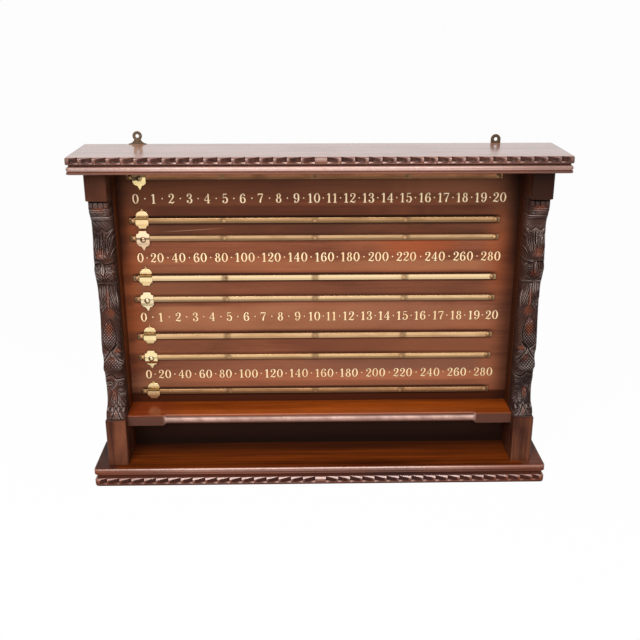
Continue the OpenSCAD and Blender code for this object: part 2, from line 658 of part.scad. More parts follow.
// Outline of the left hanger: an ogee-shaped plate that ends in a round eye
module ogee_plate() {
    curve_r = (foot_w - neck_w) / 2;
    foot_z = top_z + foot_rise;
    translate([0, top_z + left_hole_rise]) circle(r = eye_r, $fn = round_fn);
    translate([-foot_w / 2, top_z - hanger_tail]) square([foot_w, hanger_tail + foot_rise]);
    translate([-neck_w / 2, top_z]) square([neck_w, left_hole_rise]);
    difference() {
        translate([-foot_w / 2, top_z]) square([foot_w, foot_rise + curve_r]);
        for (side = [-1, 1]) translate([side * foot_w / 2, foot_z + curve_r]) circle(r = curve_r, $fn = round_fn);
    }
}

// Outline of the right hanger: a straight strap with a round end
module strap_plate() {
    translate([0, top_z + right_hole_rise]) circle(r = strap_w / 2, $fn = round_fn);
    translate([-strap_w / 2, top_z - hanger_tail]) square([strap_w, hanger_tail + right_hole_rise]);
}

module hanger_holes() at_hanger_marks()
    flush_hole(small_screw_r, hanger_screw_l + pilot, screw_head_r, screw_head_h);

module cornice_board() color("#8d5a48") in_frame() difference() {
    at(0, 0, cornice_z) difference() {
        moulded_board(cornice_x, cornice_d, cornice_t, cornice_edge) cornice_section();
        chips(cornice_x, cornice_d, cornice_chip_floor, cornice_t + past);
    }
    for (side = [-1, 1]) translate([side < 0 ? -left_hanger_x : right_hanger_x, 0, 0]) from_front(-past, hanger_t)
        translate([-(side < 0 ? foot_w : strap_w) / 2 - wood_gap, top_z - hanger_tail - wood_gap])
            square([(side < 0 ? foot_w : strap_w) + 2 * wood_gap, hanger_tail + past]);
    hanger_holes();
    dowel_shapes(pilot);
}

module base_board() color("#6d3a28") in_frame() difference() {
    moulded_board(base_x, base_d, base_t, base_edge) base_section();
    chips(base_x, base_d, base_chip_floor, base_band_h + ledge_h);
    base_holes();
}

module left_side_panel() color("#5c2c1a") in_frame() mirror([1, 0, 0]) right_side();

module right_side_panel() color("#5c2c1a") in_frame() right_side();

module score_board() color("#8a4a33") in_frame() difference() {
    block(-inner_x - board_lap + wood_gap, inner_x + board_lap - wood_gap, 0, board_t, base_t, cornice_z);
    for (z = rail_heights) rail_drilling(z);
    board_holes();
    shelf_holes();
}

module shelf() color("#7c3f22") in_frame() difference() {
    union() {
        block(-inner_x, inner_x, board_t, shelf_front, shelf_z, shelf_top);
        block(-inner_x - housing_depth + wood_gap, inner_x + housing_depth - wood_gap, board_t,
            side_d, shelf_z, shelf_top);
    }
    shelf_moulding();
    shelf_holes();
}

module left_carved_post() color("#4c2a1f") in_frame() mirror([1, 0, 0]) right_post();

module right_carved_post() color("#4c2a1f") in_frame() right_post();

module rail_stop_screws() color("#b88a48") in_frame() for (z = rail_heights) at_rail_ends(z) stop_screw();

module rail_flush_screws() color("#b88a48") in_frame() for (z = rail_heights) at_rail_middles(z)
    flush_screw(small_screw_r, rail_screw_l, screw_head_r, screw_head_h);

module left_hanger() color("#8a7a52") in_frame() difference() {
    translate([-left_hanger_x, 0, 0]) from_front(0, hanger_t) difference() {
        ogee_plate();
        translate([0, top_z + left_hole_rise]) circle(r = hanger_hole_r, $fn = round_fn);
    }
    hanger_holes();
}

module right_hanger() color("#8a7a52") in_frame() difference() {
    translate([right_hanger_x, 0, 0]) from_front(0, hanger_t) difference() {
        strap_plate();
        translate([0, top_z + right_hole_rise]) circle(r = hanger_hole_r, $fn = round_fn);
    }
    hanger_holes();
}

module hanger_screws() color("#777777") in_frame() at_hanger_marks()
    flush_screw(small_screw_r, hanger_screw_l, screw_head_r, screw_head_h);

module cornice_dowels() color("#c9a27a") in_frame() dowel_shapes(0);

module base_screws() color("#777777") in_frame() at_case_marks(0) mirror([0, 0, 1])
    flush_screw(base_screw_r, base_screw_l, base_head_r, base_head_h);

module board_screws() color("#777777") in_frame() at_board_marks()
    flush_screw(small_screw_r, board_screw_l, screw_head_r, screw_head_h);

module shelf_screws() color("#777777") in_frame() at_shelf_marks()
    flush_screw(small_screw_r, shelf_screw_l, screw_head_r, screw_head_h);

cornice_board();
base_board();
left_side_panel();
right_side_panel();
score_board();
shelf();
left_carved_post();
right_carved_post();
score_rail(rail_1_z);  // score_rail_1
score_rail(rail_2_z);  // score_rail_2
score_rail(rail_3_z);  // score_rail_3
score_rail(rail_4_z);  // score_rail_4
score_rail(rail_5_z);  // score_rail_5
score_rail(rail_6_z);  // score_rail_6
score_rail(rail_7_z);  // score_rail_7
score_rail(rail_8_z);  // score_rail_8
pointer(1);  // pointer_1
pointer(2);  // pointer_2
pointer(3);  // pointer_3
pointer(4);  // pointer_4
pointer(5);  // pointer_5
pointer(6);  // pointer_6
pointer(7);  // pointer_7
pointer(8);  // pointer_8
rail_stop_screws();
rail_flush_screws();
left_hanger();
right_hanger();
hanger_screws();
cornice_dowels();
base_screws();
board_screws();
shelf_screws();
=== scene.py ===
# %% [markdown]
# A wall-hung snooker scoreboard of dark, French-polished hardwood with brass rails and pointers.
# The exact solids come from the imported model, which is a fixed frame here. This script gives them
# their looks: it carves the posts and the board edges finely, paints the numbers and polishes the wood.

# %% Load the frame
import math
import random
import bpy
import bmesh
import numpy as np
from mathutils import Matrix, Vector


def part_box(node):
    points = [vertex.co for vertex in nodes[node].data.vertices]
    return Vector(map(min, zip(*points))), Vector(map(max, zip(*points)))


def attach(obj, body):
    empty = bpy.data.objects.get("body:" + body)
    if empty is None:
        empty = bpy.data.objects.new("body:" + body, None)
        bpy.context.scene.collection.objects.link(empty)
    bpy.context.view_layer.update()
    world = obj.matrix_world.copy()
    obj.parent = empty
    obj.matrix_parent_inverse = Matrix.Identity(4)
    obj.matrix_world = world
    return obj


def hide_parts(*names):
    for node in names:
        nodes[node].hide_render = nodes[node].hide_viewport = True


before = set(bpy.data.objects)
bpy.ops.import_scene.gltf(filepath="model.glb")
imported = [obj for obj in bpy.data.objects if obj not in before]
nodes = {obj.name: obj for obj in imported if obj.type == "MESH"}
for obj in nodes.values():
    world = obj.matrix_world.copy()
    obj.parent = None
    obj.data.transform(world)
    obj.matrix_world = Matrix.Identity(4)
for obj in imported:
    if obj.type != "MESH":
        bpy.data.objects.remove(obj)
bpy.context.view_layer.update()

MM = 0.001

# %% [markdown]
# Every place that a new piece needs is read from the frame, so that carving and paint sit on the real
# boards. The wall is at the greatest y. It is easier to think in "distance in front of the wall", so
# a small helper turns that distance, across and height, in millimetres, into a point in metres.

# %% Read the places of the boards
wall_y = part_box("cornice_board")[1].y / MM


def span(node):
    """Lowest and highest corner of a node: across, distance in front of the wall, height, in mm."""
    low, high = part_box(node)
    return (low.x / MM, wall_y - high.y / MM, low.z / MM), (high.x / MM, wall_y - low.y / MM, high.z / MM)


def at(x, front, z):
    return (x * MM, (wall_y - front) * MM, z * MM)


board_front = span("score_board")[1][1]
post_low, post_high = span("right_carved_post")
print("score board face is", round(board_front, 1), "mm in front of the wall")

# %% [markdown]
# The camera repeats the photograph's viewpoint: above the middle of the case, looking down on it by
# about twenty degrees, through a lens of about 50 mm.

# %% Camera
camera_data = bpy.data.cameras.new("photograph_camera")
camera_data.sensor_width = 36
camera_data.lens = 50.165
camera = bpy.data.objects.new("photograph_camera", camera_data)
camera.location = at(-34.07, 1749.71, 952.51)
camera.rotation_euler = (math.radians(90 - 19.96), 0, math.radians(-1.16))
bpy.context.scene.collection.objects.link(camera)
bpy.context.scene.camera = camera
print("camera at", [round(v, 3) for v in camera.location])

# %% [markdown]
# All the looks are made of shader nodes. These helpers put a node into a tree and link it. Each input
# may be a plain number or the output of another node, so that sums of outputs read like sums.

# %% Node helpers
def is_output(value):
    return isinstance(value, bpy.types.NodeSocket)


def wire(value, socket):
    """Sets an input socket to a number or colour, or links another node's output to it."""
    if is_output(value):
        socket.id_data.links.new(value, socket)
    else:
        socket.default_value = value


def new_node(tree, kind, **values):
    """A node of a shader tree, with its input sockets set or linked by name."""
    made = tree.nodes.new(kind)
    for name, value in values.items():
        wire(value, made.inputs[name.replace("_", " ")])
    return made


def maths(operation, a, b=None, clamp=False):
    """A Math node on numbers and outputs of other nodes."""
    made = (a if is_output(a) else b).id_data.nodes.new("ShaderNodeMath")
    made.operation = operation
    made.use_clamp = clamp
    for value, socket in zip((a, b), made.inputs):
        if value is not None:
            wire(value, socket)
    return made.outputs[0]


def plus(a, b, clamp=False):
    return maths("ADD", a, b, clamp)


def minus(a, b):
    return maths("SUBTRACT", a, b)


def times(product, *factors, clamp=False):
    for factor in factors:
        product = maths("MULTIPLY", product, factor, clamp)
    return product


def size_of(a):
    return maths("ABSOLUTE", a)


print("node helpers are ready")

# %% [markdown]
# The room is a white studio. The world is white to the eye and in reflections, and gives an even fill.
# A wide soft lamp high in front is the main light, as in the photograph: the cornice shades the
# top row of numbers, and the light grows towards the shelf. The pale sheen on the top of the cornice
# needs no lamp. The camera sees that board at a low angle, where polish mirrors the white room; its
# upper face is also painted paler as sheen.

# %% World, floor and lamp
def seen_directly(tree):
    """1 for what the camera sees itself, in a mirror or through glass, 0 for light on things."""
    path = tree.nodes.new("ShaderNodeLightPath").outputs
    return maths("MAXIMUM", maths("MAXIMUM", path["Is Camera Ray"], path["Is Glossy Ray"]),
                 path["Is Transmission Ray"])


def make_world(fill):
    world = bpy.data.worlds.new("white_studio")
    bpy.context.scene.world = world
    world.use_nodes = True
    tree = world.node_tree
    tree.nodes.clear()
    strength = new_node(tree, "ShaderNodeMapRange", Value=seen_directly(tree), To_Min=fill, To_Max=1.0)
    background = new_node(tree, "ShaderNodeBackground", Color=(1, 1, 1, 1), Strength=strength.outputs[0])
    new_node(tree, "ShaderNodeOutputWorld", Surface=background.outputs[0])


def make_lamp(name, place, target, size, watts):
    data = bpy.data.lights.new(name, "AREA")
    data.shape = "RECTANGLE"
    data.size, data.size_y = size
    data.energy = watts
    lamp = bpy.data.objects.new(name, data)
    lamp.location = place
    direction = Vector(target) - Vector(place)
    lamp.rotation_euler = direction.to_track_quat("-Z", "Y").to_euler()
    lamp.visible_camera = False
    bpy.context.scene.collection.objects.link(lamp)


def make_floor(reach, z, own_white):
    """A pale floor just below the base: partly its own white to the eye, so that shadows stay soft."""
    mesh = bpy.data.meshes.new("studio_floor")
    mesh.from_pydata([(-reach, -reach, z), (reach, -reach, z), (reach, reach, z), (-reach, reach, z)],
                     [], [(0, 1, 2, 3)])
    floor = bpy.data.objects.new("studio_floor", mesh)
    bpy.context.scene.collection.objects.link(floor)
    material = bpy.data.materials.new("white_floor")
    material.use_nodes = True
    tree = material.node_tree
    tree.nodes.clear()
    paint = new_node(tree, "ShaderNodeBsdfDiffuse", Color=(0.85, 0.85, 0.85, 1))
    glow = new_node(tree, "ShaderNodeEmission", Strength=1.0)
    mix = new_node(tree, "ShaderNodeMixShader", Fac=maths("MULTIPLY", seen_directly(tree), own_white))
    tree.links.new(paint.outputs[0], mix.inputs[1])
    tree.links.new(glow.outputs[0], mix.inputs[2])
    new_node(tree, "ShaderNodeOutputMaterial", Surface=mix.outputs[0])
    mesh.materials.append(material)


bpy.context.scene.view_settings.view_transform = "Standard"
make_world(fill=0.15)
make_floor(reach=400, z=-0.0004, own_white=0.975)
make_lamp("front_softbox", (-0.4, -2.2, 1.9), (0, 0.05, 0.35), (2.2, 1.5), watts=105)
print("studio is ready")

# %% [markdown]
# An effect that several materials share is a node group with named inputs and outputs. It is opened,
# filled and closed here, and then placed in a material. Most effects need three things: noise with its
# own scale along each axis, a smooth ramp, and a blend of two colours.

# %% Helpers for shared effects
def open_group(name, **inputs):
    """A shader node group with named inputs: None makes a vector, a number a value, four a colour."""
    group = bpy.data.node_groups.new(name, "ShaderNodeTree")
    for socket, value in inputs.items():
        kind = "Vector" if value is None else "Float" if isinstance(value, float) else "Color"
        made = group.interface.new_socket(socket.replace("_", " "), in_out="INPUT",
                                          socket_type="NodeSocket" + kind)
        if value is not None:
            made.default_value = value
    return group, group.nodes.new("NodeGroupInput").outputs


def close_group(group, **outputs):
    """Gives the group its named outputs and links them."""
    for name, value in outputs.items():
        group.interface.new_socket(name, in_out="OUTPUT",
                                   socket_type="NodeSocket" + ("Color" if value.type == "RGBA" else "Float"))
    new_node(group, "NodeGroupOutput", **outputs)
    print("made the effect", group.name, "with", len(group.nodes), "nodes")
    return group


def place_group(tree, group, **values):
    made = tree.nodes.new("ShaderNodeGroup")
    made.node_tree = group
    for name, value in values.items():
        wire(value, made.inputs[name.replace("_", " ")])
    return made.outputs


def noise(vector, factors, detail=4.0, roughness=0.55, distortion=0.0):
    """Noise between about 0.3 and 0.7, with its own scale along each axis."""
    scaled = vector.id_data.nodes.new("ShaderNodeVectorMath")
    scaled.operation = "MULTIPLY"
    wire(vector, scaled.inputs[0])
    scaled.inputs[1].default_value = factors
    return new_node(vector.id_data, "ShaderNodeTexNoise", Vector=scaled.outputs[0], Scale=1.0, Detail=detail,
                    Roughness=roughness, Distortion=distortion).outputs["Fac"]


def ramp(value, low, high, to_low=0.0, to_high=1.0):
    """A smooth step from to_low to to_high, where value goes from low to high."""
    made = new_node(value.id_data, "ShaderNodeMapRange", Value=value, From_Min=low, From_Max=high,
                    To_Min=to_low, To_Max=to_high)
    made.interpolation_type = "SMOOTHSTEP"
    return made.outputs["Result"]


def blend(share, a, b):
    """Colour a where share is 0 and b where it is 1."""
    tree = next(value for value in (share, a, b) if is_output(value)).id_data
    made = tree.nodes.new("ShaderNodeMix")
    made.data_type = "RGBA"
    sockets = {s.identifier: s for s in (*made.inputs, *made.outputs)}
    wire(share, sockets["Factor_Float"])
    for key, value in (("A_Color", a), ("B_Color", b)):
        wire(value if is_output(value) else (*value, 1), sockets[key])
    return sockets["Result_Color"]


print("helpers for shared effects are ready")

# %% [markdown]
# All the wood shares one grain effect: long soft bands, fine fibres and short dark pores that run
# with the board. A node group holds it, built once, so that each board can have its own colours and
# its own direction of grain. Noise that is stretched along one axis is the simplest good wood.

# %% Wood grain node group
def make_grain_group():
    group, given = open_group("wood grain", Grain_Vector=None, Light_Wood=(0.4, 0.16, 0.08, 1),
                              Dark_Wood=(0.1, 0.03, 0.015, 1), Cloudiness=0.5, Pore_Depth=0.5)
    vector = given["Grain Vector"]
    bands = noise(vector, (1.1, 30, 30), 5, 0.6, 0.7)
    fibres = noise(vector, (8, 420, 420), 3, 0.6)
    clouds = noise(vector, (3.0, 9, 9), 4, 0.55, 0.4)
    pores = ramp(noise(vector, (36, 850, 850), 2, 0.5), 0.6, 0.72)
    tone = plus(times(ramp(bands, 0.32, 0.68), 0.6), times(ramp(fibres, 0.25, 0.75), 0.3))
    drift = times(minus(ramp(clouds, 0.3, 0.7), 0.5), given["Cloudiness"])
    colour = blend(plus(tone, drift, clamp=True), given["Dark Wood"], given["Light Wood"])
    colour = blend(times(pores, given["Pore Depth"]), colour, given["Dark Wood"])
    return close_group(group, Color=colour, Pores=pores, Fibres=fibres)


GRAIN = make_grain_group()

# %% [markdown]
# Years of hands and cloths leave the polish a little uneven. This group gives a mask of faint smears,
# and from it a roughness, so that the gloss is softer in places on every polished piece.

# %% Polish node group
def make_polish_group():
    group, given = open_group("polish smears", Vector=None, Smooth_Gloss=0.1, Rubbed_Gloss=0.3)
    wide = ramp(noise(given["Vector"], (9, 9, 9), 4, 0.6, 0.8), 0.4, 0.72)
    fine = ramp(noise(given["Vector"], (60, 190, 190), 3, 0.6), 0.2, 0.8)
    smears = times(wide, fine)
    gloss = new_node(group, "ShaderNodeMapRange", Value=smears, To_Min=given["Smooth Gloss"],
                     To_Max=given["Rubbed Gloss"])
    return close_group(group, Roughness=gloss.outputs["Result"], Smears=smears)


POLISH = make_polish_group()

# %% [markdown]
# Dark stain and old wax gather in every cut of carved work, and the raised edges are rubbed pale. The
# same dark also stands for the shade in the cuts, and the same pale for highlights on the ridges: both
# are painted light as well. The carved meshes below store both as numbers on their points: one is 1
# deep in a cut, the other is 1 on a ridge. This group turns the two numbers into colour.

# %% Stain and wear node group
def make_wear_group():
    group, given = open_group("stain and wear", Color=(0.2, 0.08, 0.04, 1), Recess=0.0, Crest=0.0, Vector=None,
                              Stain=(0.012, 0.008, 0.008, 1), Rubbed=(0.42, 0.26, 0.2, 1), Stain_Share=0.85,
                              Wear_Share=0.5)
    speckle = ramp(noise(given["Vector"], (160, 160, 160), 4, 0.65), 0.3, 0.65, 0.78, 1.0)
    # The dark share is stain and painted shade, the pale share wear and painted highlight.
    stain_and_shade = times(times(given["Recess"], given["Stain Share"], clamp=True), speckle)
    wear_and_highlight = times(times(given["Crest"], given["Wear Share"], clamp=True), speckle)
    colour = blend(stain_and_shade, blend(wear_and_highlight, given["Color"], given["Rubbed"]), given["Stain"])
    return close_group(group, Color=colour, Dullness=stain_and_shade)


AGED_AND_PAINTED_LIGHT = make_wear_group()

# %% [markdown]
# The materials read the place of the shaded point, either turned and moved for the grain, or plain for
# soft spots at known places of the board. They also read the numbers that are stored on a mesh.

# %% Helpers for materials
ALONG_X = (0, 0, 0)
ALONG_Z = (0, math.radians(90), 0)


def object_vector(tree, turn=ALONG_X, move=(0, 0, 0)):
    coordinates = tree.nodes.new("ShaderNodeTexCoord")
    return new_node(tree, "ShaderNodeMapping", Vector=coordinates.outputs["Object"], Rotation=turn,
                    Location=move).outputs[0]


def place_of(colour):
    """The place (m) of the shaded point, in the tree that the colour is in: across, depth, height."""
    coordinates = colour.id_data.nodes.new("ShaderNodeTexCoord")
    parts = new_node(colour.id_data, "ShaderNodeSeparateXYZ", Vector=coordinates.outputs["Object"])
    return parts.outputs


def stored(tree, name):
    made = tree.nodes.new("ShaderNodeAttribute")
    made.attribute_name = name
    return made.outputs["Fac"]


def soft_spot(x, z, centre, size):
    """1 in the middle of an ellipse (m), falling softly to 0 at its edge."""
    dx = maths("DIVIDE", minus(x, centre[0]), size[0])
    dz = maths("DIVIDE", minus(z, centre[1]), size[1])
    return ramp(plus(times(dx, dx), times(dz, dz)), 0.0, 1.0, 1.0, 0.0)


def new_material(name, **constants):
    """A material with constant numbers on its Principled shader; gives both."""
    material = bpy.data.materials.new(name)
    material.use_nodes = True
    shader = material.node_tree.nodes["Principled BSDF"]
    for socket, value in constants.items():
        shader.inputs[socket.replace("_", " ")].default_value = value
    return material, shader


def give_surface(shader, colour, roughness, height, strength, distance):
    """Links colour, roughness and a bump from a height to the Principled shader."""
    bump = new_node(shader.id_data, "ShaderNodeBump", Strength=strength, Distance=distance, Height=height)
    wire(colour, shader.inputs["Base Color"])
    wire(roughness, shader.inputs["Roughness"])
    wire(bump.outputs[0], shader.inputs["Normal"])


print("helpers for materials are ready")

# %% [markdown]
# A polished board is dark wood under a clear hard polish. The Principled shader's coat is that layer
# of polish; below it the wood itself is fairly dull. The grain runs along x in the boards and along z
# in the sides and posts. An optional "toning" adds broad lighter and darker places to the one colour.

# %% Polished wood
def polished_wood(name, light, dark, turn=ALONG_X, move=(0, 0, 0), cloud=0.5, coat=1.0, gloss=(0.3, 0.5),
                  coat_rough=0.08, carved=None, toning=None, flat_gloss=1.0):
    """Wood with two tones of grain; where numbers are stored, carved darkens hollows and pales ridges, for age and
    as painted light.
    """
    material, shader = new_material(name, Specular_IOR_Level=0.03, Coat_Roughness=coat_rough)
    tree = material.node_tree
    vector = object_vector(tree, turn, move)
    grain = place_group(tree, GRAIN, Light_Wood=(*light, 1), Dark_Wood=(*dark, 1), Cloudiness=cloud,
                        Grain_Vector=vector)
    smears = place_group(tree, POLISH, Smooth_Gloss=gloss[0], Rubbed_Gloss=gloss[1], Vector=vector)
    colour = toning(grain["Color"]) if toning else grain["Color"]
    if carved:
        scuff_and_highlight = stored(tree, "scuff_and_highlight")
        wear_and_highlight = place_group(tree, AGED_AND_PAINTED_LIGHT, Color=colour, Vector=vector, Recess=stored(tree, "grime_and_shade"), Crest=scuff_and_highlight,
                           **carved)
        colour = wear_and_highlight["Color"]
        polish = times(minus(1.0, wear_and_highlight["Dullness"]), ramp(scuff_and_highlight, 0.0, 0.6, flat_gloss, 1.0))
    else:
        polish = minus(1.0, times(smears["Smears"], 0.3))
    wire(times(polish, coat), shader.inputs["Coat Weight"])
    give_surface(shader, colour, smears["Roughness"], minus(times(grain["Fibres"], 0.4), grain["Pores"]),
                 0.15, 0.0004)
    return material


print("polish recipe is ready")

# %% [markdown]
# The cornice and the base are boards whose front edge is moulded with planes and then cut by hand with
# a row of wedge-shaped chips. Each chip starts at nothing, gets deeper towards the middle of the
# board and ends at a narrow land. The edge is built as a section swept round three sides; at each step
# the section is cut back by the depth of the chip there. That follows the hand work more closely
# than a repeated boolean, and every chip can differ a little.

# %% Mesh helpers
def new_object(name, points, faces, soften=0.0):
    """An object from points in mm (across, in front of the wall, height), its edges rounded if asked."""
    mesh = bpy.data.meshes.new(name)
    mesh.from_pydata([at(*p) for p in points], [], faces)
    work = bmesh.new()
    work.from_mesh(mesh)
    bmesh.ops.recalc_face_normals(work, faces=work.faces)
    if soften:
        bmesh.ops.bevel(work, geom=work.edges[:], offset=soften * MM, segments=3, profile=0.6,
                        affect="EDGES", clamp_overlap=True)
    work.to_mesh(mesh)
    work.free()
    made = bpy.data.objects.new(name, mesh)
    bpy.context.scene.collection.objects.link(made)
    return made


def add_piece(name, points, faces, material, slot, stands_for=None, smooth=None, soften=0.0):
    """A new piece that rides on the case, in place of a solid of the model if one is named."""
    piece = new_object(name, points, faces, soften)
    piece.data.materials.append(material)
    if smooth is not None:
        piece.data.polygons.foreach_set("use_smooth", [True] * len(piece.data.polygons))
        piece.data.set_sharp_from_angle(angle=math.radians(smooth))
    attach(piece, "case")
    if stands_for:
        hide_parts(stands_for)
    return piece


def store_wear(piece, grime_and_shade, scuff_and_highlight):
    """Saves two numbers for each point of a piece, for its material to read."""
    for name, values in (("grime_and_shade", grime_and_shade), ("scuff_and_highlight", scuff_and_highlight)):
        made = piece.data.attributes.new(name, "FLOAT", "POINT")
        made.data.foreach_set("value", np.asarray(values, np.float32))


def smooth_step(value, low, high):
    t = np.clip((value - low) / (high - low), 0, 1)
    return t * t * (3 - 2 * t)


print("mesh helpers are ready")

# %% [markdown]
# The chips come in two mirrored runs of eighteen, on both sides of a plain block in the middle. The
# carver's hand shows: their depth, their land and their spacing vary slightly, always from one seed,
# so that every run of this script makes the same board.

# %% Chips
# Chips in each run, width of the plain block, greatest depth of a cut (mm), steps along one chip.
CHIP_COUNT, CHIP_BLOCK, CHIP_DEPTH, CHIP_STEPS = 18, 22.4, 5.5, 9


def chip_row(half_w, seed):
    """Stations along the front: (x, depth of the cut, share along the chip)."""
    hand = random.Random(seed)
    pitch = (half_w - CHIP_BLOCK / 2) / CHIP_COUNT
    stations = []
    for side in (-1, 1):
        run = []
        for i in range(CHIP_COUNT):
            start = CHIP_BLOCK / 2 + i * pitch + (hand.uniform(-0.5, 0.5) if i else 0)
            land = hand.uniform(1.9, 2.9)
            deep = CHIP_DEPTH * hand.uniform(0.9, 1.03)
            hollow = hand.uniform(0.85, 1.15)
            length = CHIP_BLOCK / 2 + (i + 1) * pitch - land - start
            run.append((start - 0.3, 0.0, 0.0))
            for step in range(CHIP_STEPS + 1):
                t = 1 - step / CHIP_STEPS
                run.append((start + (1 - t) * length, deep * t ** hollow, t))
        stations += [(side * x, cut, t) for x, cut, t in run[::side]]
    return stations


def edge_path(half_w, depth, edge, seed):
    """Columns round the board: (inner x, inner front, out x, out front, depth of the cut, share)."""
    reach, inner = half_w - edge, depth - edge
    fronts = [max(0.4, inner * i / 5) for i in range(6)]
    turns = [math.radians(90 * i / 12) for i in range(13)]
    columns = [(-reach, front, -1, 0, 0, 0) for front in (0, *fronts)]
    columns += [(-reach, inner, -math.cos(a), math.sin(a), 0, 0) for a in turns[1:]]
    columns += [(x, inner, 0, 1, cut, share) for x, cut, share in chip_row(half_w, seed)
                if abs(x) < reach - 0.2]
    columns += [(reach, inner, math.sin(a), math.cos(a), 0, 0) for a in turns[:-1]]
    return columns + [(reach, front, 1, 0, 0, 0) for front in (*fronts[::-1], 0)]


def swept_board(name, half_w, depth, edge, z0, section, seed, material):
    """Board with its section swept round the front and both ends, and chips cut along the front."""
    columns = edge_path(half_w, depth, edge, seed)
    points, grime_and_shade, scuff_and_highlight = [], [], []
    for x, front, out_x, out_front, cut, share in columns:
        rows = section(cut, share)
        # Dark numbers are stain and painted shade, pale ones wear and painted highlight; the pale fades towards the
        # ends.
        rub_and_glint = 1 - 0.6 * float(smooth_step(abs(x), 0.5 * half_w, 0.9 * half_w))
        for r, z, dark, pale in rows:
            points.append((x + r * out_x, front + r * out_front, z0 + z))
            grime_and_shade.append(dark if front else 0.3)
            scuff_and_highlight.append(pale * rub_and_glint if front else 0.0)
    n, total = len(rows), len(points)
    faces = [(c + i, c + n + i, c + n + i + 1, c + i + 1) for c in range(0, total - n, n) for i in range(n - 1)]
    top, bottom = range(n - 1, total, n), range(total - n, -1, -n)
    faces += [[*top], [*bottom], [*range(n), *range(total - 1, total - n - 1, -1)]]
    piece = add_piece(name, points, faces, material, name + "_wood", name + "_board", smooth=40)
    store_wear(piece, grime_and_shade, scuff_and_highlight)
    print(name, "has", len(points), "points")
    return piece


print("first chips start at", [round(s[0], 1) for s in chip_row(457, 3)[::CHIP_STEPS + 2][:3]])

# %% [markdown]
# The cornice's edge, from its underside: a plain fascia, a bold torus, a deep quirk and the carved
# band, whose upper arris is planed to a slope. A chip takes this slope away only towards its deep
# end, which leaves the pale triangle above each dark wall. Its floor tips forward and goes lower as it
# gets deeper: that is the bright sliver below the wall, which is also painted pale as a highlight. The
# torus is painted pale as its highlight; the quirk, the fascia's lower edge and the chip walls are
# dark with stain and painted shade. Each point of a section is written as (outwards, up, stain and
# painted shade, wear and painted highlight).

# %% Cornice
def rounded(centre_r, centre_z, radius, start, stop, stain_and_shade, highlight_shares):
    """Points round an arc from start to stop, in degrees, one for each share of painted highlight in the list."""
    turns = [math.radians(start + (stop - start) * i / (len(highlight_shares) - 1)) for i in range(len(highlight_shares))]
    return [(centre_r + radius * math.cos(a), centre_z + radius * math.sin(a), stain_and_shade, wear_and_highlight)
            for a, wear_and_highlight in zip(turns, highlight_shares)]


def chip_wall(edge, lip_z, floor_z, top_z, cut, share, slope_r, slope_z, lip_highlight=0.0, slope_highlight=0.1,
              land_darkening=0.45):
    """Points from the lip of a chip over its floor and wall to the top arris."""
    # Walls are dark with stain and painted shade; the sliver, the lip and the slope are painted highlights, and the
    # lands are paler with wear and painted highlight.
    lip = floor_z - 0.3 - (floor_z - 0.3 - lip_z) * cut / CHIP_DEPTH
    open_share = min(1.0, cut / 0.9)
    stain_and_shade, wear_and_highlight, unhighlighted = max(open_share, land_darkening), 0.3 * (1 - open_share), 1 - slope_highlight
    wall_top = top_z - slope_z * (1 - share)
    sliver = 0.85 * float(smooth_step(share, 0.45, 0.9))
    shade = 0.75 * (1 - sliver)
    return [(edge, lip, 0.65 * (1 - lip_highlight), lip_highlight),
            (edge - 0.25 * min(1, cut), lip + 0.1, shade, max(sliver, lip_highlight)),
            (edge - cut * 0.9, floor_z - 0.15, shade, sliver), (edge - cut, floor_z + 0.2, stain_and_shade, 0.0),
            (edge - cut, (floor_z + wall_top) / 2, stain_and_shade, wear_and_highlight), (edge - cut, wall_top - 0.4, stain_and_shade, wear_and_highlight),
            (edge - cut - 0.3 * (1 - share), wall_top, 0.35 * unhighlighted, slope_highlight),
            (edge - cut - slope_r * (1 - share), top_z, 0.2 * unhighlighted, slope_highlight)]


cornice_low, cornice_high = span("cornice_board")
CORNICE_EDGE, CORNICE_T = 8.0, cornice_high[2] - cornice_low[2]
CARVED_EDGE = dict(Stain=(0.020, 0.008, 0.007, 1), Rubbed=(0.88, 0.62, 0.55, 1), Stain_Share=0.95,
                   Wear_Share=1.0)


def cornice_section(cut, share):
    e = CORNICE_EDGE
    # The torus is painted pale as its highlight; the quirk and the fascia's lower edge are dark with stain and
    # painted shade.
    return [(1.0, 0, 0.0, 0.0), (e - 1.5, 0, 0.6, 0.0), (e - 0.6, 0.7, 0.3, 0.0), (e - 0.6, 3.6, 0.2, 0.0),
            (e - 1.3, 4.0, 0.7, 0.0), (e - 1.6, 4.3, 0.7, 0.0),
            *rounded(e - 5.2, 9.1, 4.7, -62, 2, 0.1, (0, 0.15, 0.4, 0.55, 0.5, 0.35)), (e - 0.8, 9.8, 0.4, 0.15),
            *rounded(e - 5.2, 9.1, 4.7, 14, 84, 0.1, (0.4, 0.6, 0.7, 0.6, 0.4, 0.15, 0)),
            (e - 5.2, 14.1, 0.95, 0.0), (e - 5.0, 17.2, 1.0, 0.0), (e - 0.8, 17.8, 0.9, 0.0),
            (e, 18.3, 0.35, 0.05), *chip_wall(e, 19.2, 21.3, CORNICE_T, cut, share, 2.4, 2.2),
            (1.0, CORNICE_T, 0.0, 0.0)]


def cornice_toning(colour):
    """The upper face is painted pinker in streaks, as the sheen of its polish; the ends are darker."""
    x, _, z = place_of(colour)
    top = ramp(z, (cornice_high[2] - 1.2) * MM, (cornice_high[2] - 0.2) * MM)
    streaks = ramp(noise(object_vector(colour.id_data), (2.5, 60, 60), 5, 0.65, 0.6), 0.35, 0.65, 0.3, 0.8)
    colour = blend(ramp(size_of(x), 0.30, 0.44, 0.0, 0.5), colour, (0.07, 0.028, 0.020))
    return blend(times(top, streaks), colour, (0.46, 0.20, 0.15))


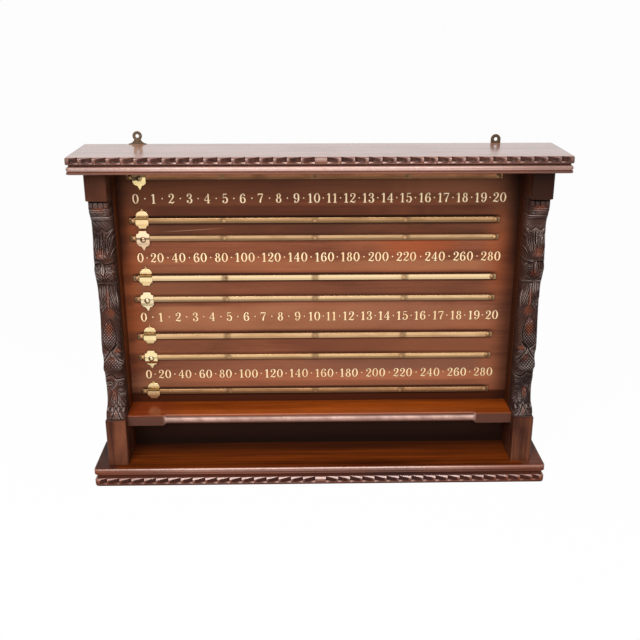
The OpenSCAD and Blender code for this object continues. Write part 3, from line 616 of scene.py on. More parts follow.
CORNICE_WOOD = polished_wood("cornice_wood", (0.31, 0.112, 0.062), (0.13, 0.042, 0.025), move=(0.3, 0.1, 0.2),
                             carved=CARVED_EDGE, coat_rough=0.17, toning=cornice_toning)
cornice = swept_board("cornice", cornice_high[0], cornice_high[1], CORNICE_EDGE, cornice_low[2],
                      cornice_section, 3, CORNICE_WOOD)

# %% [markdown]
# The base has the same chips between a foot painted dark as its shadow on the floor and a sloping
# ledge painted pale as a highlight, and above the quirk a rounded nosing with one scratched line,
# whose rounding is painted pale as a highlight. Its top is streaked orange and darker at the left
# end; towards the wall, under the shelf, it is painted darker as shade.

# %% Base
base_low, base_high = span("base_board")
BASE_EDGE, BASE_T = 10.0, base_high[2] - base_low[2]


def base_section(cut, share):
    e = BASE_EDGE
    # The foot is painted dark as the shadow under the base; the ledge and the top rounding are painted highlights.
    return [(1.0, 0, 0.0, 0.0), (e - 0.8, 0, 1.0, 0.0), (e - 0.5, 0.4, 1.0, 0.0), (e - 0.5, 2.6, 1.0, 0.0),
            (e, 3.0, 0.2, 0.1), *chip_wall(e, 3.4, 5.4, 15.2, cut, share, 3.0, 3.3, 0.35, 0.75, 0.15),
            (e - 5.6, 15.2, 0.4, 0.1), (e - 5.9, 15.9, 0.8, 0.0), (e - 5.6, 25.2, 0.8, 0.0),
            (e - 0.6, 25.7, 0.6, 0.0), (e, 26.2, 0.0, 0.15), (e, 29.0, 0.0, 0.1), (e - 1.0, 30.1, 0.95, 0.0),
            (e, 31.1, 0.0, 0.3),
            *rounded(e - 4.5, BASE_T - 4.5, 4.5, 0, 90, 0.0, (0.3, 0.6, 1.0, 1.0, 0.35, 0.05, 0.0, 0.0)),
            (1.0, BASE_T, 0.0, 0.0)]


def base_toning(colour):
    x, depth, z = place_of(colour)
    top = ramp(z, (BASE_T - 2.0) * MM, (BASE_T - 0.3) * MM)
    bands = noise(object_vector(colour.id_data, move=(0.6, 0.2, 0.5)), (1.6, 90, 90), 5, 0.65, 0.5)
    for mask, tint in ((ramp(bands, 0.46, 0.64, 0.0, 0.6), (0.27, 0.050, 0.006)),
                       (ramp(x, -0.428, -0.412, 0.8, 0.0), (0.045, 0.017, 0.012)),
                       (ramp(x, 0.412, 0.428, 0.0, 0.6), (0.14, 0.052, 0.036))):
        colour = blend(times(top, mask), colour, tint)
    # Painted shade: towards the wall, under the shelf, the top grows darker.
    return blend(ramp(depth, (wall_y - 75) * MM, (wall_y - 25) * MM, 0.0, 0.75), colour, (0.020, 0.006, 0.003))


BASE_WOOD = polished_wood("base_wood", (0.18, 0.034, 0.005), (0.036, 0.007, 0.002), move=(1.3, 0.4, 0.1),
                          carved=dict(CARVED_EDGE, Stain=(0.034, 0.014, 0.012, 1), Rubbed=(0.60, 0.36, 0.30, 1)),
                          coat=0.7, flat_gloss=0.12, toning=base_toning)
base = swept_board("base", base_high[0], base_high[1], BASE_EDGE, 0.0, base_section, 8, BASE_WOOD)

# %% [markdown]
# The two hangers are let into the back of the cornice and the base screws into its underside. The
# cuts are the same size as in the solid model, made with booleans on the swept boards.

# %% Housings for hangers and screws
def cut_away(piece, cutters):
    """Takes the cutters out of a piece and keeps the result as its mesh."""
    for cutter in cutters:
        modifier = piece.modifiers.new("cut", "BOOLEAN")
        modifier.operation = "DIFFERENCE"
        modifier.solver = "EXACT"
        modifier.object = cutter
    graph = bpy.context.evaluated_depsgraph_get()
    shaped = bpy.data.meshes.new_from_object(piece.evaluated_get(graph))
    piece.modifiers.clear()
    piece.data = shaped
    for cutter in cutters:
        bpy.data.objects.remove(cutter)
    print(piece.name, "with its housings has", len(shaped.vertices), "points")


def box_cutter(low, high):
    corners = [(x, front, z) for x in (low[0], high[0]) for front in (low[1], high[1]) for z in (low[2], high[2])]
    return new_object("cutter", corners, [(0, 1, 3, 2), (4, 6, 7, 5), (0, 4, 5, 1), (2, 3, 7, 6), (0, 2, 6, 4),
                                          (1, 5, 7, 3)])


def screw_cutter(x, front, head_r=4.6, head_h=2.6, sides=32):
    """A cone for the head of a countersunk screw, widest at the underside of the base."""
    turns = [2 * math.pi * i / sides for i in range(sides)]
    points = [(x + r * math.cos(a), front + r * math.sin(a), z)
              for r, z in ((head_r + 0.1, -0.01), (head_r / 2, head_h - 0.01)) for a in turns]
    faces = [(i, (i + 1) % sides, sides + (i + 1) % sides, sides + i) for i in range(sides)]
    return new_object("cutter", points, faces + [[*range(sides)], [*range(sides, 2 * sides)]])


# Play round a hanger (mm), and the places of the base screws: across, in front of the wall (mm).
HOUSING_PLAY = 0.1
BASE_SCREWS = ((408, 20.5), (408, 40), (417.5, 70))
housings = []
for hanger in ("left_hanger", "right_hanger"):
    low, high = span(hanger)
    housings.append(box_cutter((low[0] - HOUSING_PLAY, -1, low[2] - HOUSING_PLAY),
                               (high[0] + HOUSING_PLAY, high[1], 800)))
cut_away(cornice, housings)
cut_away(base, [screw_cutter(side * x, front) for side in (-1, 1) for x, front in BASE_SCREWS])

# %% [markdown]
# The posts carry the richest work: a plain cap, a row of small gadroons over a hollowed neck, a sheaf
# of reeds tied by a collar, a bud between two scrolls with a spread leaf below it, a long leaf that
# ends in a hatched drop, a round hatched fruit between crossed straps, and a foot of curled leaves. The
# carver cut it into a front that swells and narrows. Here the same order is kept: first the large
# profile, then the swellings, then each gouge cut and rib as a stroke. Height is kept in a grid of
# numbers, which numpy changes quickly, and becomes a mesh at the end.

# %% Large profile of the posts
PLINTH_TOP, CAP_Z = 139.6, 593.2
CARVED_HALF = (post_high[0] - post_low[0]) / 2 - 1
PROFILE = [(0, 5), (0.03, 10), (0.054, 25), (0.12, 31.5), (0.17, 28), (0.206, 26), (0.235, 17.5),
           (0.262, 24.5), (0.29, 25), (0.314, 20), (0.37, 21.5), (0.457, 29), (0.548, 30.5),
           (0.618, 28), (0.66, 20), (0.693, 14.5), (0.726, 18.5), (0.78, 21), (0.836, 27),
           (0.865, 27), (0.91, 23), (0.955, 13), (1, 12.7)]


def smooth_curve(knots, values, at_points):
    """A smooth curve through the knots, as in the solid model (cubic, with slopes from neighbours)."""
    knots, values = np.array(knots, float), np.array(values, float)
    n = len(knots)
    k = np.clip(np.searchsorted(knots, at_points, "right") - 1, 0, n - 2)
    before, after = np.maximum(k - 1, 0), np.minimum(k + 2, n - 1)
    w = knots[k + 1] - knots[k]
    s = (at_points - knots[k]) / w
    m0 = (values[k + 1] - values[before]) / (knots[k + 1] - knots[before]) * w
    m1 = (values[after] - values[k]) / (knots[after] - knots[k]) * w
    return ((2 * s**3 - 3 * s**2 + 1) * values[k] + (s**3 - 2 * s**2 + s) * m0
            + (3 * s**2 - 2 * s**3) * values[k + 1] + (s**3 - s**2) * m1)


COLUMNS, ROWS = 91, 960
up = np.linspace(PLINTH_TOP - 0.5, CAP_Z + 0.5, ROWS)
GRID_A, GRID_Z = np.meshgrid(np.linspace(-1, 1, COLUMNS), up)
GRID_S = GRID_A * CARVED_HALF
large_depth = smooth_curve(*zip(*PROFILE), np.clip((up - PLINTH_TOP) / (CAP_Z - PLINTH_TOP), 0, 1))
print("profile depth from", round(large_depth.min(), 1), "to", round(large_depth.max(), 1), "mm")

# %% [markdown]
# A stroke is a smooth line with a half width and a rise. It is written as (half width, rise, then
# across and height of each of its points). Across goes from -100 at the outer side of the post to 100
# at the inner side; all else is in mm, and height is measured from the floor. Ribs stand up: the
# collar, the reeds and leaf veins, the curls. They come from the cap down to the foot.

# %% Ribs
def scroll(across_at, z_at, radius, turn, turns=1.35):
    """Points of a small volute, from its outer end to its eye; turn is 1 or -1."""
    steps = int(8 * turns)
    line = []
    for i in range(steps + 1):
        r, a = radius * (1 - 0.62 * i / steps), 2 * math.pi * i / 8 + 2.6
        line += [across_at - 100 * turn * r * math.cos(a) / CARVED_HALF, z_at + r * math.sin(a)]
    return line


RIBS = [
    (1.3, 1.1, -100, 574.6, -30, 573.8, 40, 574.3, 100, 574.8),
    (2.4, 1.6, -105, 557.7, 83, 557.5, 105, 557.5), (1.3, 2.1, -18, 524, -21, 507.7, -26, 490),
    (1.3, 2, 23, 523, 17, 505.2, 15, 488),
    (1.3, 1.8, -81, 529.1, -62, 522.1, -42, 515.2, -42, 503.6, -45, 489),
    (1.5, 2, 91, 528.9, 71, 522.8, 49, 517.6, 40, 504, 33, 490),
    (1.1, 1.4, -93, 520.3, -86, 507.8, -68, 492.3, -55, 484),
    (1.1, 1.4, 100, 518.4, 89, 506.8, 62, 495.2, 42, 485), (1, 1.2, 70, 514, 60, 503, 44, 489),
    (1, 1.2, -68, 514, -64, 503, -54, 491), (0.9, 0.9, 2, 501, -2, 492, -5, 483),
    (1.3, 1.7, 105, 495.1, 85, 486.6, 60, 477.1), (1.2, 1.2, -101, 497, -88, 486.8, -73, 478.1),
    (1.1, 1.6, -98, 471.6, -67, 471.2, -36, 469.2, 0, 470.2, 31, 471.9, 71, 471.2, 102, 470.1),
    (1, 1.6, *scroll(-72, 459.3, 4.6, 1)), (1, 1.6, *scroll(56, 458.8, 4.6, -1)),
    (1.2, 1.8, -92, 448.5, -66, 443.2, -42, 438.8, -26, 432.5),
    (1.2, 1.7, -62, 450.6, -46, 446.6, -33, 442.4, -22, 437),
    (1.3, 1.6, -97, 438.6, -70, 434.4, -45, 431.2, -26, 427.6),
    (1.2, 1.8, 72, 448, 44, 442.8, 18, 438.4, 2, 432.2), (1.2, 1.7, 40, 450.2, 22, 446.2, 8, 442, -4, 437),
    (1.3, 1.6, 80, 438.2, 50, 434, 24, 431, 4, 427.4), (1, 1.3, -13, 441.5, -12, 434, -11, 426.2),
    (2.2, 2.2, 5, 419, 6, 404.4, 1, 390.2, -3, 374), (1.2, 1, -3, 376.3, -12, 362.5, -14, 352.3),
    (1.3, 1.8, -26, 392, -44, 386.5, -62, 381), (1.3, 1.5, -32, 383.5, -56, 378.7, -82, 373),
    (1.3, 1.7, 13, 396.5, 24, 391.1, 38, 385), (1.2, 1.3, 15, 388, 32, 382.7, 45, 377),
    (1.1, 1, -30, 375.5, -50, 370.9, -70, 365), (1.1, 1.3, 21, 378.1, 46, 371.7, 78, 365),
    (3, 0.8, 75, 419, 94, 390.1, 96, 370), (1.1, 1.4, -15, 349.5, -33, 343.2, -50, 336),
    (1.2, 1.6, -8, 349.5, 9, 344.1, 34, 337), (1, 1.4, -87, 304.1, -75, 298.3, -57, 292),
    (1, 1.2, 48, 304.1, 36, 298.3, 16, 292), (1.1, 1.5, *scroll(-46, 211.9, 6.4, -1, 1.6)),
    (1, 1.3, *scroll(62, 211.3, 5, 1, 1.3)), (1.3, 1.6, -23, 189.6, -44, 180.6, -60, 169),
    (1.2, 1.3, -11, 188.6, 1, 179.3, -2, 169)]
print("ribs:", len(RIBS))

# %% [markdown]
# Cuts are written in the same way, with the depth of the gouge as their second number. They part the
# gadroons, the reeds and the leaves, and undercut the collar, the straps and the foot.

# %% Cuts
CUTS = [
    (1.2, 2.5, -100, 589, 82, 588.9, 100, 588.9), (0.9, 1.7, -52, 588.3, -53, 583, -55, 577.5),
    (0.9, 1.8, -1, 588.4, -1, 583, 0, 577.2), (0.9, 1.7, 51, 588.4, 52, 583, 53, 577.4),
    (0.9, 1.5, -100, 571.3, -30, 570.6, 40, 571, 100, 571.5), (0.8, 1.3, -98, 562.6, 0, 562.3, 90, 562.5),
    (0.9, 2, -102, 552.3, 91, 552.1, 102, 552), (1, 2, -60, 526.4, -54, 516.1, -53, 503.6, -50, 492),
    (1.6, 2.6, 2, 525.8, 2, 515, 0, 503), (1, 2, 38, 516.1, 29, 503.5, 24, 488.7),
    (0.9, 1.7, -33, 524, -31, 511.9, -34, 492.4), (1, 1.8, 78, 517.9, 72, 505.5, 52, 489.8),
    (1, 1.7, -80, 518.1, -74, 503.6, -58, 488.9), (0.8, 1.2, 8, 498, 6, 490, 4, 481),
    (0.8, 1.2, -12, 498, -14, 490, -16, 481), (0.9, 2, -97, 443.6, -70, 438.9, -46, 435.2, -30, 430.6),
    (0.8, 1.8, -74, 449, -54, 444.6, -38, 440.8, -24, 434.8),
    (0.9, 2, 76, 443.2, 47, 438.6, 22, 434.8, 6, 430.2),
    (0.8, 1.8, 53, 448.6, 32, 444.2, 13, 440.4, -2, 434.6),
    (1.1, 2.4, -36, 467, -36, 460, -38, 453.2, -30, 447), (1.1, 2.4, 13, 467, 14, 460, 15, 453.2, 6, 447),
    (1, 1.9, -46, 452.6, -72, 452, -100, 453.4), (1, 1.9, 26, 452.2, 54, 451.6, 90, 453),
    (0.8, 1.2, -12, 464, -13, 456, -14, 448), (1.2, 2.4, -98, 423.8, -34, 422.7, 35, 423.7, 100, 423.1),
    (1.2, 1.5, -91, 419.6, -85, 404.6, -95, 390.3, -98, 378),
    (1.1, 1.9, -58, 421, -58, 412.1, -70, 398, -80, 388), (0.9, 1.6, -31, 421, -35, 410.2, -46, 399),
    (0.9, 1.6, -12, 419.5, -14, 410, -16, 400), (0.9, 1.5, 86, 419, 80, 404, 87, 388),
    (1.2, 2.2, 26, 420, 31, 409.1, 46, 394.9, 78, 375),
    (1.1, 1.7, -25, 399, -46, 392.2, -77, 382.9, -92, 374), (0.8, 1.6, -21, 389, -36, 382.8, -56, 378),
    (0.8, 1.6, -24, 380.5, -44, 375.5, -70, 370), (0.8, 1.5, 8, 391, 19, 384.6, 33, 379),
    (0.8, 1.4, 8, 380.5, 24, 373.5, 50, 367), (0.9, 1.3, -13, 348.6, -15, 339.7),
    (1.8, 2.6, -8, 286.5, -53, 272, -98, 260), (1.8, 2.9, 1, 286.5, 24, 273.5, 57, 263.9, 100, 257),
    (1.5, 2.3, -90, 297, -54, 289.5, -11, 285.5), (1.5, 2.3, 63, 300.7, 28, 290.6, 1, 285.5),
    (2, 3, -100, 224.6, -40, 230.9, -9, 228.7, 25, 221.6, 98, 224),
    (1.2, 2.1, 30, 218.7, -9, 205.8, -50, 197), (1.1, 2.3, 20, 193.2, 60, 188.5, 100, 187.8),
    (0.9, 1.3, -27, 183, -30, 176, -33, 168), (1, 1, -80, 196, -95, 181.9, -92, 166),
    (1, 1.2, 34, 188, 26, 175.5, 31, 165), (1.4, 2.7, -5, 161, -20, 152.6, -46, 140.5),
    (1.4, 2.7, -5, 161, 28, 152.6, 56, 140.5), (1.3, 2.5, -102, 140.8, 0, 140.8, 102, 140.8)]
print("cuts:", len(CUTS))

# %% [markdown]
# The cross-section of a stroke is rounded, and it runs out softly at both ends, as a gouge does when
# it enters and leaves the wood. The carver's hand moves each point of it a little.

# %% Strokes of the gouge
def add_stroke(height, half_width, rise, line, hand):
    """Adds one rib (rise > 0) or one cut (rise < 0) to the grid of heights."""
    points = [(a / 100 * CARVED_HALF + hand.uniform(-0.25, 0.25), z + hand.uniform(-0.35, 0.35))
              for a, z in zip(line[::2], line[1::2])]
    pieces = 6 * (len(points) - 1)
    knots, fine = np.linspace(0, 1, len(points)), np.linspace(0, 1, pieces + 1)
    s, z = (smooth_curve(knots, values, fine) for values in zip(*points))
    rows = slice(*np.searchsorted(up, (z.min() - half_width, z.max() + half_width)))
    grid_s, grid_z = GRID_S[rows], GRID_Z[rows]
    nearest, along = np.full(grid_s.shape, 1e9), np.zeros(grid_s.shape)
    for i in range(pieces):
        ds, dz = s[i + 1] - s[i], z[i + 1] - z[i]
        t = np.clip(((grid_s - s[i]) * ds + (grid_z - z[i]) * dz) / (ds * ds + dz * dz), 0, 1)
        gap = np.hypot(grid_s - s[i] - t * ds, grid_z - z[i] - t * dz)
        closer = gap < nearest
        nearest[closer] = gap[closer]
        along[closer] = ((i + t) / pieces)[closer]
    taper = np.clip(np.minimum(along, 1 - along) * 6 + 0.35, 0, 1)
    shape = 0.5 + 0.5 * np.cos(np.pi * np.clip(nearest / half_width, 0, 1))
    height[rows] += rise * hand.uniform(0.85, 1.15) * shape * taper


print("longest stroke has", (max(map(len, RIBS + CUTS)) - 2) // 2, "points")

# %% [markdown]
# Swellings and hollows are ellipses: (across, height, half width, half height, rise). The gadroons
# under the cap, the fruit, the curls and the beads of the foot are swellings of this kind.

# %% Swellings and hollows
SWELLINGS = [
    (-78, 582.6, 4.3, 5.6, 1.1), (-27, 582.4, 4.6, 5.9, 1.3), (25, 582.5, 4.6, 5.9, 1.3),
    (77, 582.7, 4.3, 5.6, 1.1), (55, 563.6, 3.4, 1.3, 1.6), (-24, 479.8, 12, 5, 1),
    (-72, 459.3, 1.6, 1.7, 1.6), (56, 458.8, 1.6, 1.7, 1.6), (-57, 425.9, 6.5, 2.4, 1.2),
    (30, 425.6, 6.5, 2.4, 1.1), (-69, 278.5, 5, 5, 0.8), (64, 276.6, 6, 5.5, 1.2), (-1, 273.5, 3, 4, 0.8),
    (-3, 249.7, 17, 15.5, 2), (-44, 211.7, 7, 7, 1.5), (-88, 218.9, 1.3, 1.5, 1.2),
    (-86, 213.2, 1.3, 1.5, 1.2), (-84, 206.7, 1.3, 1.5, 1.2), (-81, 200.1, 1.3, 1.5, 1.2),
    (64, 211.5, 6, 5, 1), (56, 196.2, 6, 3.5, 1.4), (-85, 158.6, 1.8, 2.6, 2.2), (-38, 158.6, 2.2, 3, 2.4),
    (25, 158.9, 2.2, 3.2, 2.4), (79, 158, 2, 3.2, 2.4), (-62, 158.6, 1.5, 2.5, -1.5),
    (-7, 159.3, 1.5, 2.5, -1.2), (53, 158.5, 1.5, 2.5, -1.5), (5, 145.6, 4, 5, 0.8)]
print("swellings:", len(SWELLINGS))

# %% [markdown]
# Hatching is what makes the drop and the fruit glitter: two sets of parallel V cuts that cross. These
# helpers make such patterns over the whole grid, and masks that keep them in their place.

# %% Patterns and masks
def hatch(pitch, slant):
    """Two crossing sets of sharp cuts: 1 in a cut, 0 between cuts."""
    first, second = (np.abs(np.sin(np.pi * (GRID_S * slant + z) / pitch)) for z in (GRID_Z, -GRID_Z))
    return 1 - np.minimum(first, second) ** (1 / 1.6)


def inside(across_at, z_at, half_w, half_h):
    """1 in the middle of an ellipse, 0 on its edge and less than 0 outside."""
    return 1 - ((GRID_S - across_at / 100 * CARVED_HALF) / half_w) ** 2 - ((GRID_Z - z_at) / half_h) ** 2


def drop_mask(across_at, z_low, z_high, half_w):
    """1 inside an upright drop between two heights and 0 outside; it is widest just below its middle."""
    share = np.clip((GRID_Z - z_low) / (z_high - z_low), 0, 1)
    half = half_w * np.sin(np.pi * share ** 0.85) ** 0.75
    return smooth_step(half - np.abs(GRID_S - across_at / 100 * CARVED_HALF), 0, 1.6) * (half > 0)


def undercut(edge, deep, reach):
    """Depth of a hollow that starts sharply below an edge and fades out further down."""
    below = np.clip(edge - GRID_Z, 0, None)
    return (below > 0) * deep * np.exp(-below / reach)


def waves(hand, count, *grids):
    """Mean of some waves; each grid comes with the least and the greatest frequency along it."""
    return sum(np.sin(sum(grid * hand.uniform(low, high) for grid, low, high in grids) + hand.uniform(0, 6))
               for _ in range(count)) / count


print("a hatched patch is cut on", round(100 * float((hatch(6.6, 1.15) > 0.5).mean())), "% of its area")

# %% [markdown]
# Now the post is carved from the cap down: the punched band with its lobes, the collar, bud and leaf,
# the hatched drop and fruit, then all swellings and strokes. The maker's two posts are a pair but not
# copies, so each one gets its own seed for the small movements of the hand.

# %% Carve
def carve(seed):
    """Grid of heights of the fine carving, in mm above the large profile."""
    hand = random.Random(seed)
    height = np.zeros(GRID_A.shape)
    lobes = 529.5 + 2.9 * np.cos(2 * np.pi * (GRID_A - 0.02) / 0.92)
    band = smooth_step(GRID_Z, lobes - 0.6, lobes + 0.6) * smooth_step(-GRID_Z, -551.5, -550.5)
    punch = (np.clip(np.cos(2 * np.pi * (GRID_S + 0.5 * np.sin(GRID_Z)) / 2.7), 0, 1)
             * np.clip(np.cos(2 * np.pi * (GRID_Z + 0.6 * np.sin(GRID_S * 0.7)) / 2.6), 0, 1))
    height += band * (-1.3 - 1.1 * punch)

    # The hollow under the collar, the bud, the hollow above the leaf, the drop with its rim, the fruit.
    collar = 469.6 + 1.1 * np.sin(2 * np.pi * (GRID_A + 0.7) / 1.35)
    height -= undercut(collar - 1.2, 3.6, 7) * smooth_step(np.abs(GRID_A + 0.1), 0.1, 0.32)
    bud, drop = drop_mask(-12, 443, 470.5, 4.6), drop_mask(-10, 287, 351, 13.5)
    height += bud * 2.5
    height -= undercut(422, 1.7, 10)
    height += drop * (2.4 - 2.7 * hatch(6.6, 1.15))
    edge = smooth_step(drop_mask(-10, 285, 352, 15.2), 0.1, 0.9) - smooth_step(drop, 0.0, 0.5)
    height -= 1.6 * np.clip(edge, 0, 1)
    fruit = smooth_step(inside(-3, 249.7, 18.5, 15.5), 0, 0.25)
    height += fruit * (0.5 - 2.9 * hatch(6.2, 1.0))

    # Quieter hatching on the leaf, on a curl and on the foot, then the swellings and the strokes.
    for place, soft, deep, pitch, slant in (((10, 361, 17, 9), 0.8, 0.6, 2.7, 1.3),
                                            ((64, 211.5, 6.5, 6), 0.6, 0.8, 2.6, 1.0),
                                            ((30, 148, 14, 6), 0.6, 0.5, 2.8, 1.7)):
        height -= smooth_step(inside(*place), 0, soft) * deep * hatch(pitch, slant)
    for *place, rise in SWELLINGS:
        height += rise * np.sqrt(np.clip(inside(*place), 0, 1))
    for strength, strokes in ((1.35, RIBS), (-1.35, CUTS)):
        for half_width, rise, *line in strokes:
            add_stroke(height, half_width, strength * rise, line, hand)
    return height + 0.3 * waves(hand, 5, (GRID_S, 0.5, 1.4), (GRID_Z, 0.4, 1.1))


def blurred(grid, *reaches):
    """Grid averaged over a window; the difference to the grid tells cuts from ridges."""
    for axis, reach in enumerate(reaches):
        padded = np.pad(grid, [(reach, reach) if i == axis else (0, 0) for i in (0, 1)], "edge")
        total = np.cumsum(np.insert(padded, 0, 0, axis), axis)
        window = 2 * reach + 1
        grid = (np.take(total, range(window, total.shape[axis]), axis)
                - np.take(total, range(total.shape[axis] - window), axis)) / window
    return grid


print("carving tools are ready")

# %% [markdown]
# The left post is redder and paler than the right one, and both are nearly black between warmer
# places, where the polish has worn thin. Cap and plinth are browner and rougher; the cap is painted
# darker as the shade under the cornice.

# %% Woods of the posts
# Warmer places in the dark polish: across and height in mm, half width, half height and share.
WARM_PLACES = [(0, 574, 16, 7, 0.7), (-6, 488, 12, 13, 0.6), (0, 444, 12, 9, 0.6), (0, 392, 5, 27, 0.9),
               (2, 362, 12, 12, 0.5), (-2, 330, 10, 24, 0.7), (12, 286, 8, 6, 0.6), (0, 262, 8, 8, 0.4),
               (-4, 184, 6, 14, 0.8), (0, 152, 5, 6, 0.5)]
POST_INNER, POST_BACK = post_low[:2]
POST_OUTER, POST_FRONT = post_high[:2]
POST_MIDDLE = (POST_INNER + POST_OUTER) / 2
POST_ROUNDING = 4.5


def warm_toning(side):
    def toning(colour):
        x, _, z = place_of(colour)
        for across, z_mm, half_w, half_h, share in WARM_PLACES:
            spot = soft_spot(x, z, (side * (POST_MIDDLE - across) * MM, z_mm * MM), (half_w * MM, half_h * MM))
            colour = blend(times(spot, share), colour, (0.20, 0.052, 0.022))
        return colour
    return toning


def block_toning(colour):
    _, _, z = place_of(colour)
    # Painted shade: the cap, under the cornice, is darker.
    return blend(ramp(z, 0.57, 0.60, 0.0, 0.6), colour, (0.022, 0.008, 0.005))


def carved_wood(side, name, light, dark, rubbed):
    look = dict(Stain=(0.004, 0.003, 0.003, 1), Rubbed=(*rubbed, 1), Stain_Share=1.0, Wear_Share=0.8)
    return polished_wood(name, light, dark, turn=ALONG_Z, move=(0.1, 0.3, 2.2), carved=look, cloud=0.9,
                         gloss=(0.26, 0.42), coat=0.9, coat_rough=0.2, toning=warm_toning(side), flat_gloss=0.06)


BLOCK_WOOD = polished_wood("post_block_wood", (0.19, 0.062, 0.030), (0.034, 0.011, 0.007), turn=ALONG_Z,
                           move=(0.5, 0.2, 1.7), gloss=(0.3, 0.45), coat=0.05, cloud=1.0, toning=block_toning)


print("woods of the posts are ready")

# %% [markdown]
# The grid becomes the front of a solid; flat sides and a flat back close it. What lies lower than its
# surroundings is stored as the share of stain and painted shade, and what lies higher as the share of
# wear and painted highlight. Above and below the carving the post stays plain: a cap and a plinth with
# a bevelled outer corner.

# %% Build the carved posts
def carved_front(side, name, seed, wood):
    """The carved part of a post; side is -1 for the left post and 1 for the right one."""
    height = carve(seed)
    hand = random.Random(seed + 1)
    front = POST_FRONT - large_depth[:, None] - POST_ROUNDING * np.abs(GRID_A) ** 6 + height
    narrow = 1 - 0.03 * (0.5 + 0.5 * waves(hand, 4, (up, 0.05, 0.3)))[:, None]
    x = side * (POST_MIDDLE - GRID_A * CARVED_HALF * narrow)
    points, faces = np.stack([x, front, GRID_Z], -1).reshape(-1, 3).tolist(), []
    back = len(points)
    for r in range(ROWS):
        points += [(x[r, 0], POST_BACK, up[r]), (x[r, -1], POST_BACK, up[r])]
    for r in range(ROWS - 1):
        low, high, a, b = r * COLUMNS, (r + 1) * COLUMNS, back + 2 * r, back + 2 * r + 2
        faces += [(low + c, low + c + 1, high + c + 1, high + c) for c in range(COLUMNS - 1)]
        faces += [(a, low, high, b), (a + 1, b + 1, high + COLUMNS - 1, high - 1), (a, b, b + 1, a + 1)]
    faces += [[back, *range(COLUMNS), back + 1], [len(points) - 1, *range(back - 1, back - COLUMNS - 1, -1),
                                                  len(points) - 2]]
    piece = add_piece(name + "_post_carving", points, faces, wood, "carved_wood", name + "_carved_post", smooth=70)

    # Narrow cuts and broad hollows both count as low: they get stain and painted shade. Crests get wear
    # and painted highlights, more in some places than in others: less on the gadroons and the drop, most
    # on the beads of the foot.
    low = (blurred(height, 3, 3) - height) / 0.5 + (blurred(height, 12, 10) - height) / 1.7
    rub_and_glint = 0.45 + waves(hand, 5, (GRID_S, -0.12, 0.12), (GRID_Z, 0.04, 0.2))
    rub_and_glint = np.clip(rub_and_glint, 0.12, 1) * (1 - 0.7 * smooth_step(GRID_Z, 572, 578))
    rub_and_glint *= 1 - 0.45 * np.exp(-((GRID_Z - 318) / 25) ** 2)
    rub_and_glint = np.maximum(rub_and_glint, np.exp(-((GRID_Z - 158) / 7) ** 2))
    flat = np.zeros(2 * ROWS)
    store_wear(piece, [*np.clip(low, 0, 1).flat, *flat], [*(np.clip(-low, 0, 1) * rub_and_glint).flat, *flat])
    print(piece.name, "has", len(points), "points")


def post_blocks(side, name):
    """Cap and plinth of a post: plain blocks with a bevelled outer corner and softened edges."""
    points, faces = [], []
    for z0, z1, bevel in ((post_low[2], PLINTH_TOP, 2.5), (CAP_Z, post_high[2], 3.5)):
        outline = [(POST_INNER, POST_BACK), (POST_OUTER, POST_BACK), (POST_OUTER, POST_FRONT - bevel),
                   (POST_OUTER - bevel, POST_FRONT), (POST_INNER, POST_FRONT)]
        n, k = len(outline), len(points)
        points += [(side * x, front, z) for z in (z0, z1) for x, front in outline]
        faces += [[*range(k, k + n)], [*range(k + 2 * n - 1, k + n - 1, -1)]]
        faces += [(k + i, k + (i + 1) % n, k + n + (i + 1) % n, k + n + i) for i in range(n)]
    add_piece(name + "_post_blocks", points, faces, BLOCK_WOOD, "carved_wood", name + "_carved_post",
              smooth=30, soften=0.9)


for side, name, seed, light, dark, rubbed in (
        (-1, "left", 11, (0.072, 0.027, 0.017), (0.023, 0.0115, 0.0095), (0.31, 0.22, 0.195)),
        (1, "right", 29, (0.050, 0.021, 0.015), (0.019, 0.010, 0.009), (0.25, 0.175, 0.15))):
    carved_front(side, name, seed, carved_wood(side, name + "_carved_wood", light, dark, rubbed))
    post_blocks(side, name)

# %% [markdown]
# The score board is the best seen plank: warm red-brown, with two bleached orange places at the ends
# and one pale scratch. Painted shade darkens it in narrow bands along the rails and in its corners by
# the sides. The tables hold its broad spots, and the tone of each field between two rails.

# %% Tones of the score board
RAIL_Z = [sum(span(f"score_rail_{number}")[i][2] for i in (0, 1)) / 2 for number in range(1, 9)]
# Share of the painted shade in the bands above and below each rail, from the top.
RAIL_SHADE_SHARES = (0.3, 0.97, 0.2, 0.85, 0.55, 0.7, 0.35, 0.85)

# Spots of the polish: middle (x, z) and half size in m, colour, share.
BOARD_SPOTS = [((-0.30, 0.57), (0.30, 0.09), (0.13, 0.044, 0.020), 0.7),
               ((0.33, 0.57), (0.22, 0.08), (0.11, 0.045, 0.022), 0.5),
               ((-0.32, 0.40), (0.16, 0.06), (0.15, 0.06, 0.03), 0.5),
               ((-0.34, 0.17), (0.12, 0.05), (0.17, 0.075, 0.04), 0.5),
               ((0.37, 0.46), (0.05, 0.12), (0.28, 0.065, 0.020), 0.5),
               ((-0.385, 0.47), (0.035, 0.12), (0.24, 0.055, 0.014), 0.6),
               ((-0.385, 0.31), (0.035, 0.12), (0.27, 0.062, 0.016), 0.6),
               ((0.20, 0.49), (0.10, 0.05), (0.30, 0.06, 0.016), 0.5),
               ((-0.15, 0.52), (0.16, 0.03), (0.28, 0.06, 0.018), 0.5),
               # The next two pale spots make the lower board lighter towards the shelf: painted light.
               ((0.10, 0.34), (0.35, 0.05), (0.34, 0.13, 0.075), 0.4),
               ((0.05, 0.18), (0.45, 0.07), (0.38, 0.13, 0.065), 0.7),
               ((-0.25, 0.265), (0.15, 0.03), (0.085, 0.033, 0.018), 0.8)]

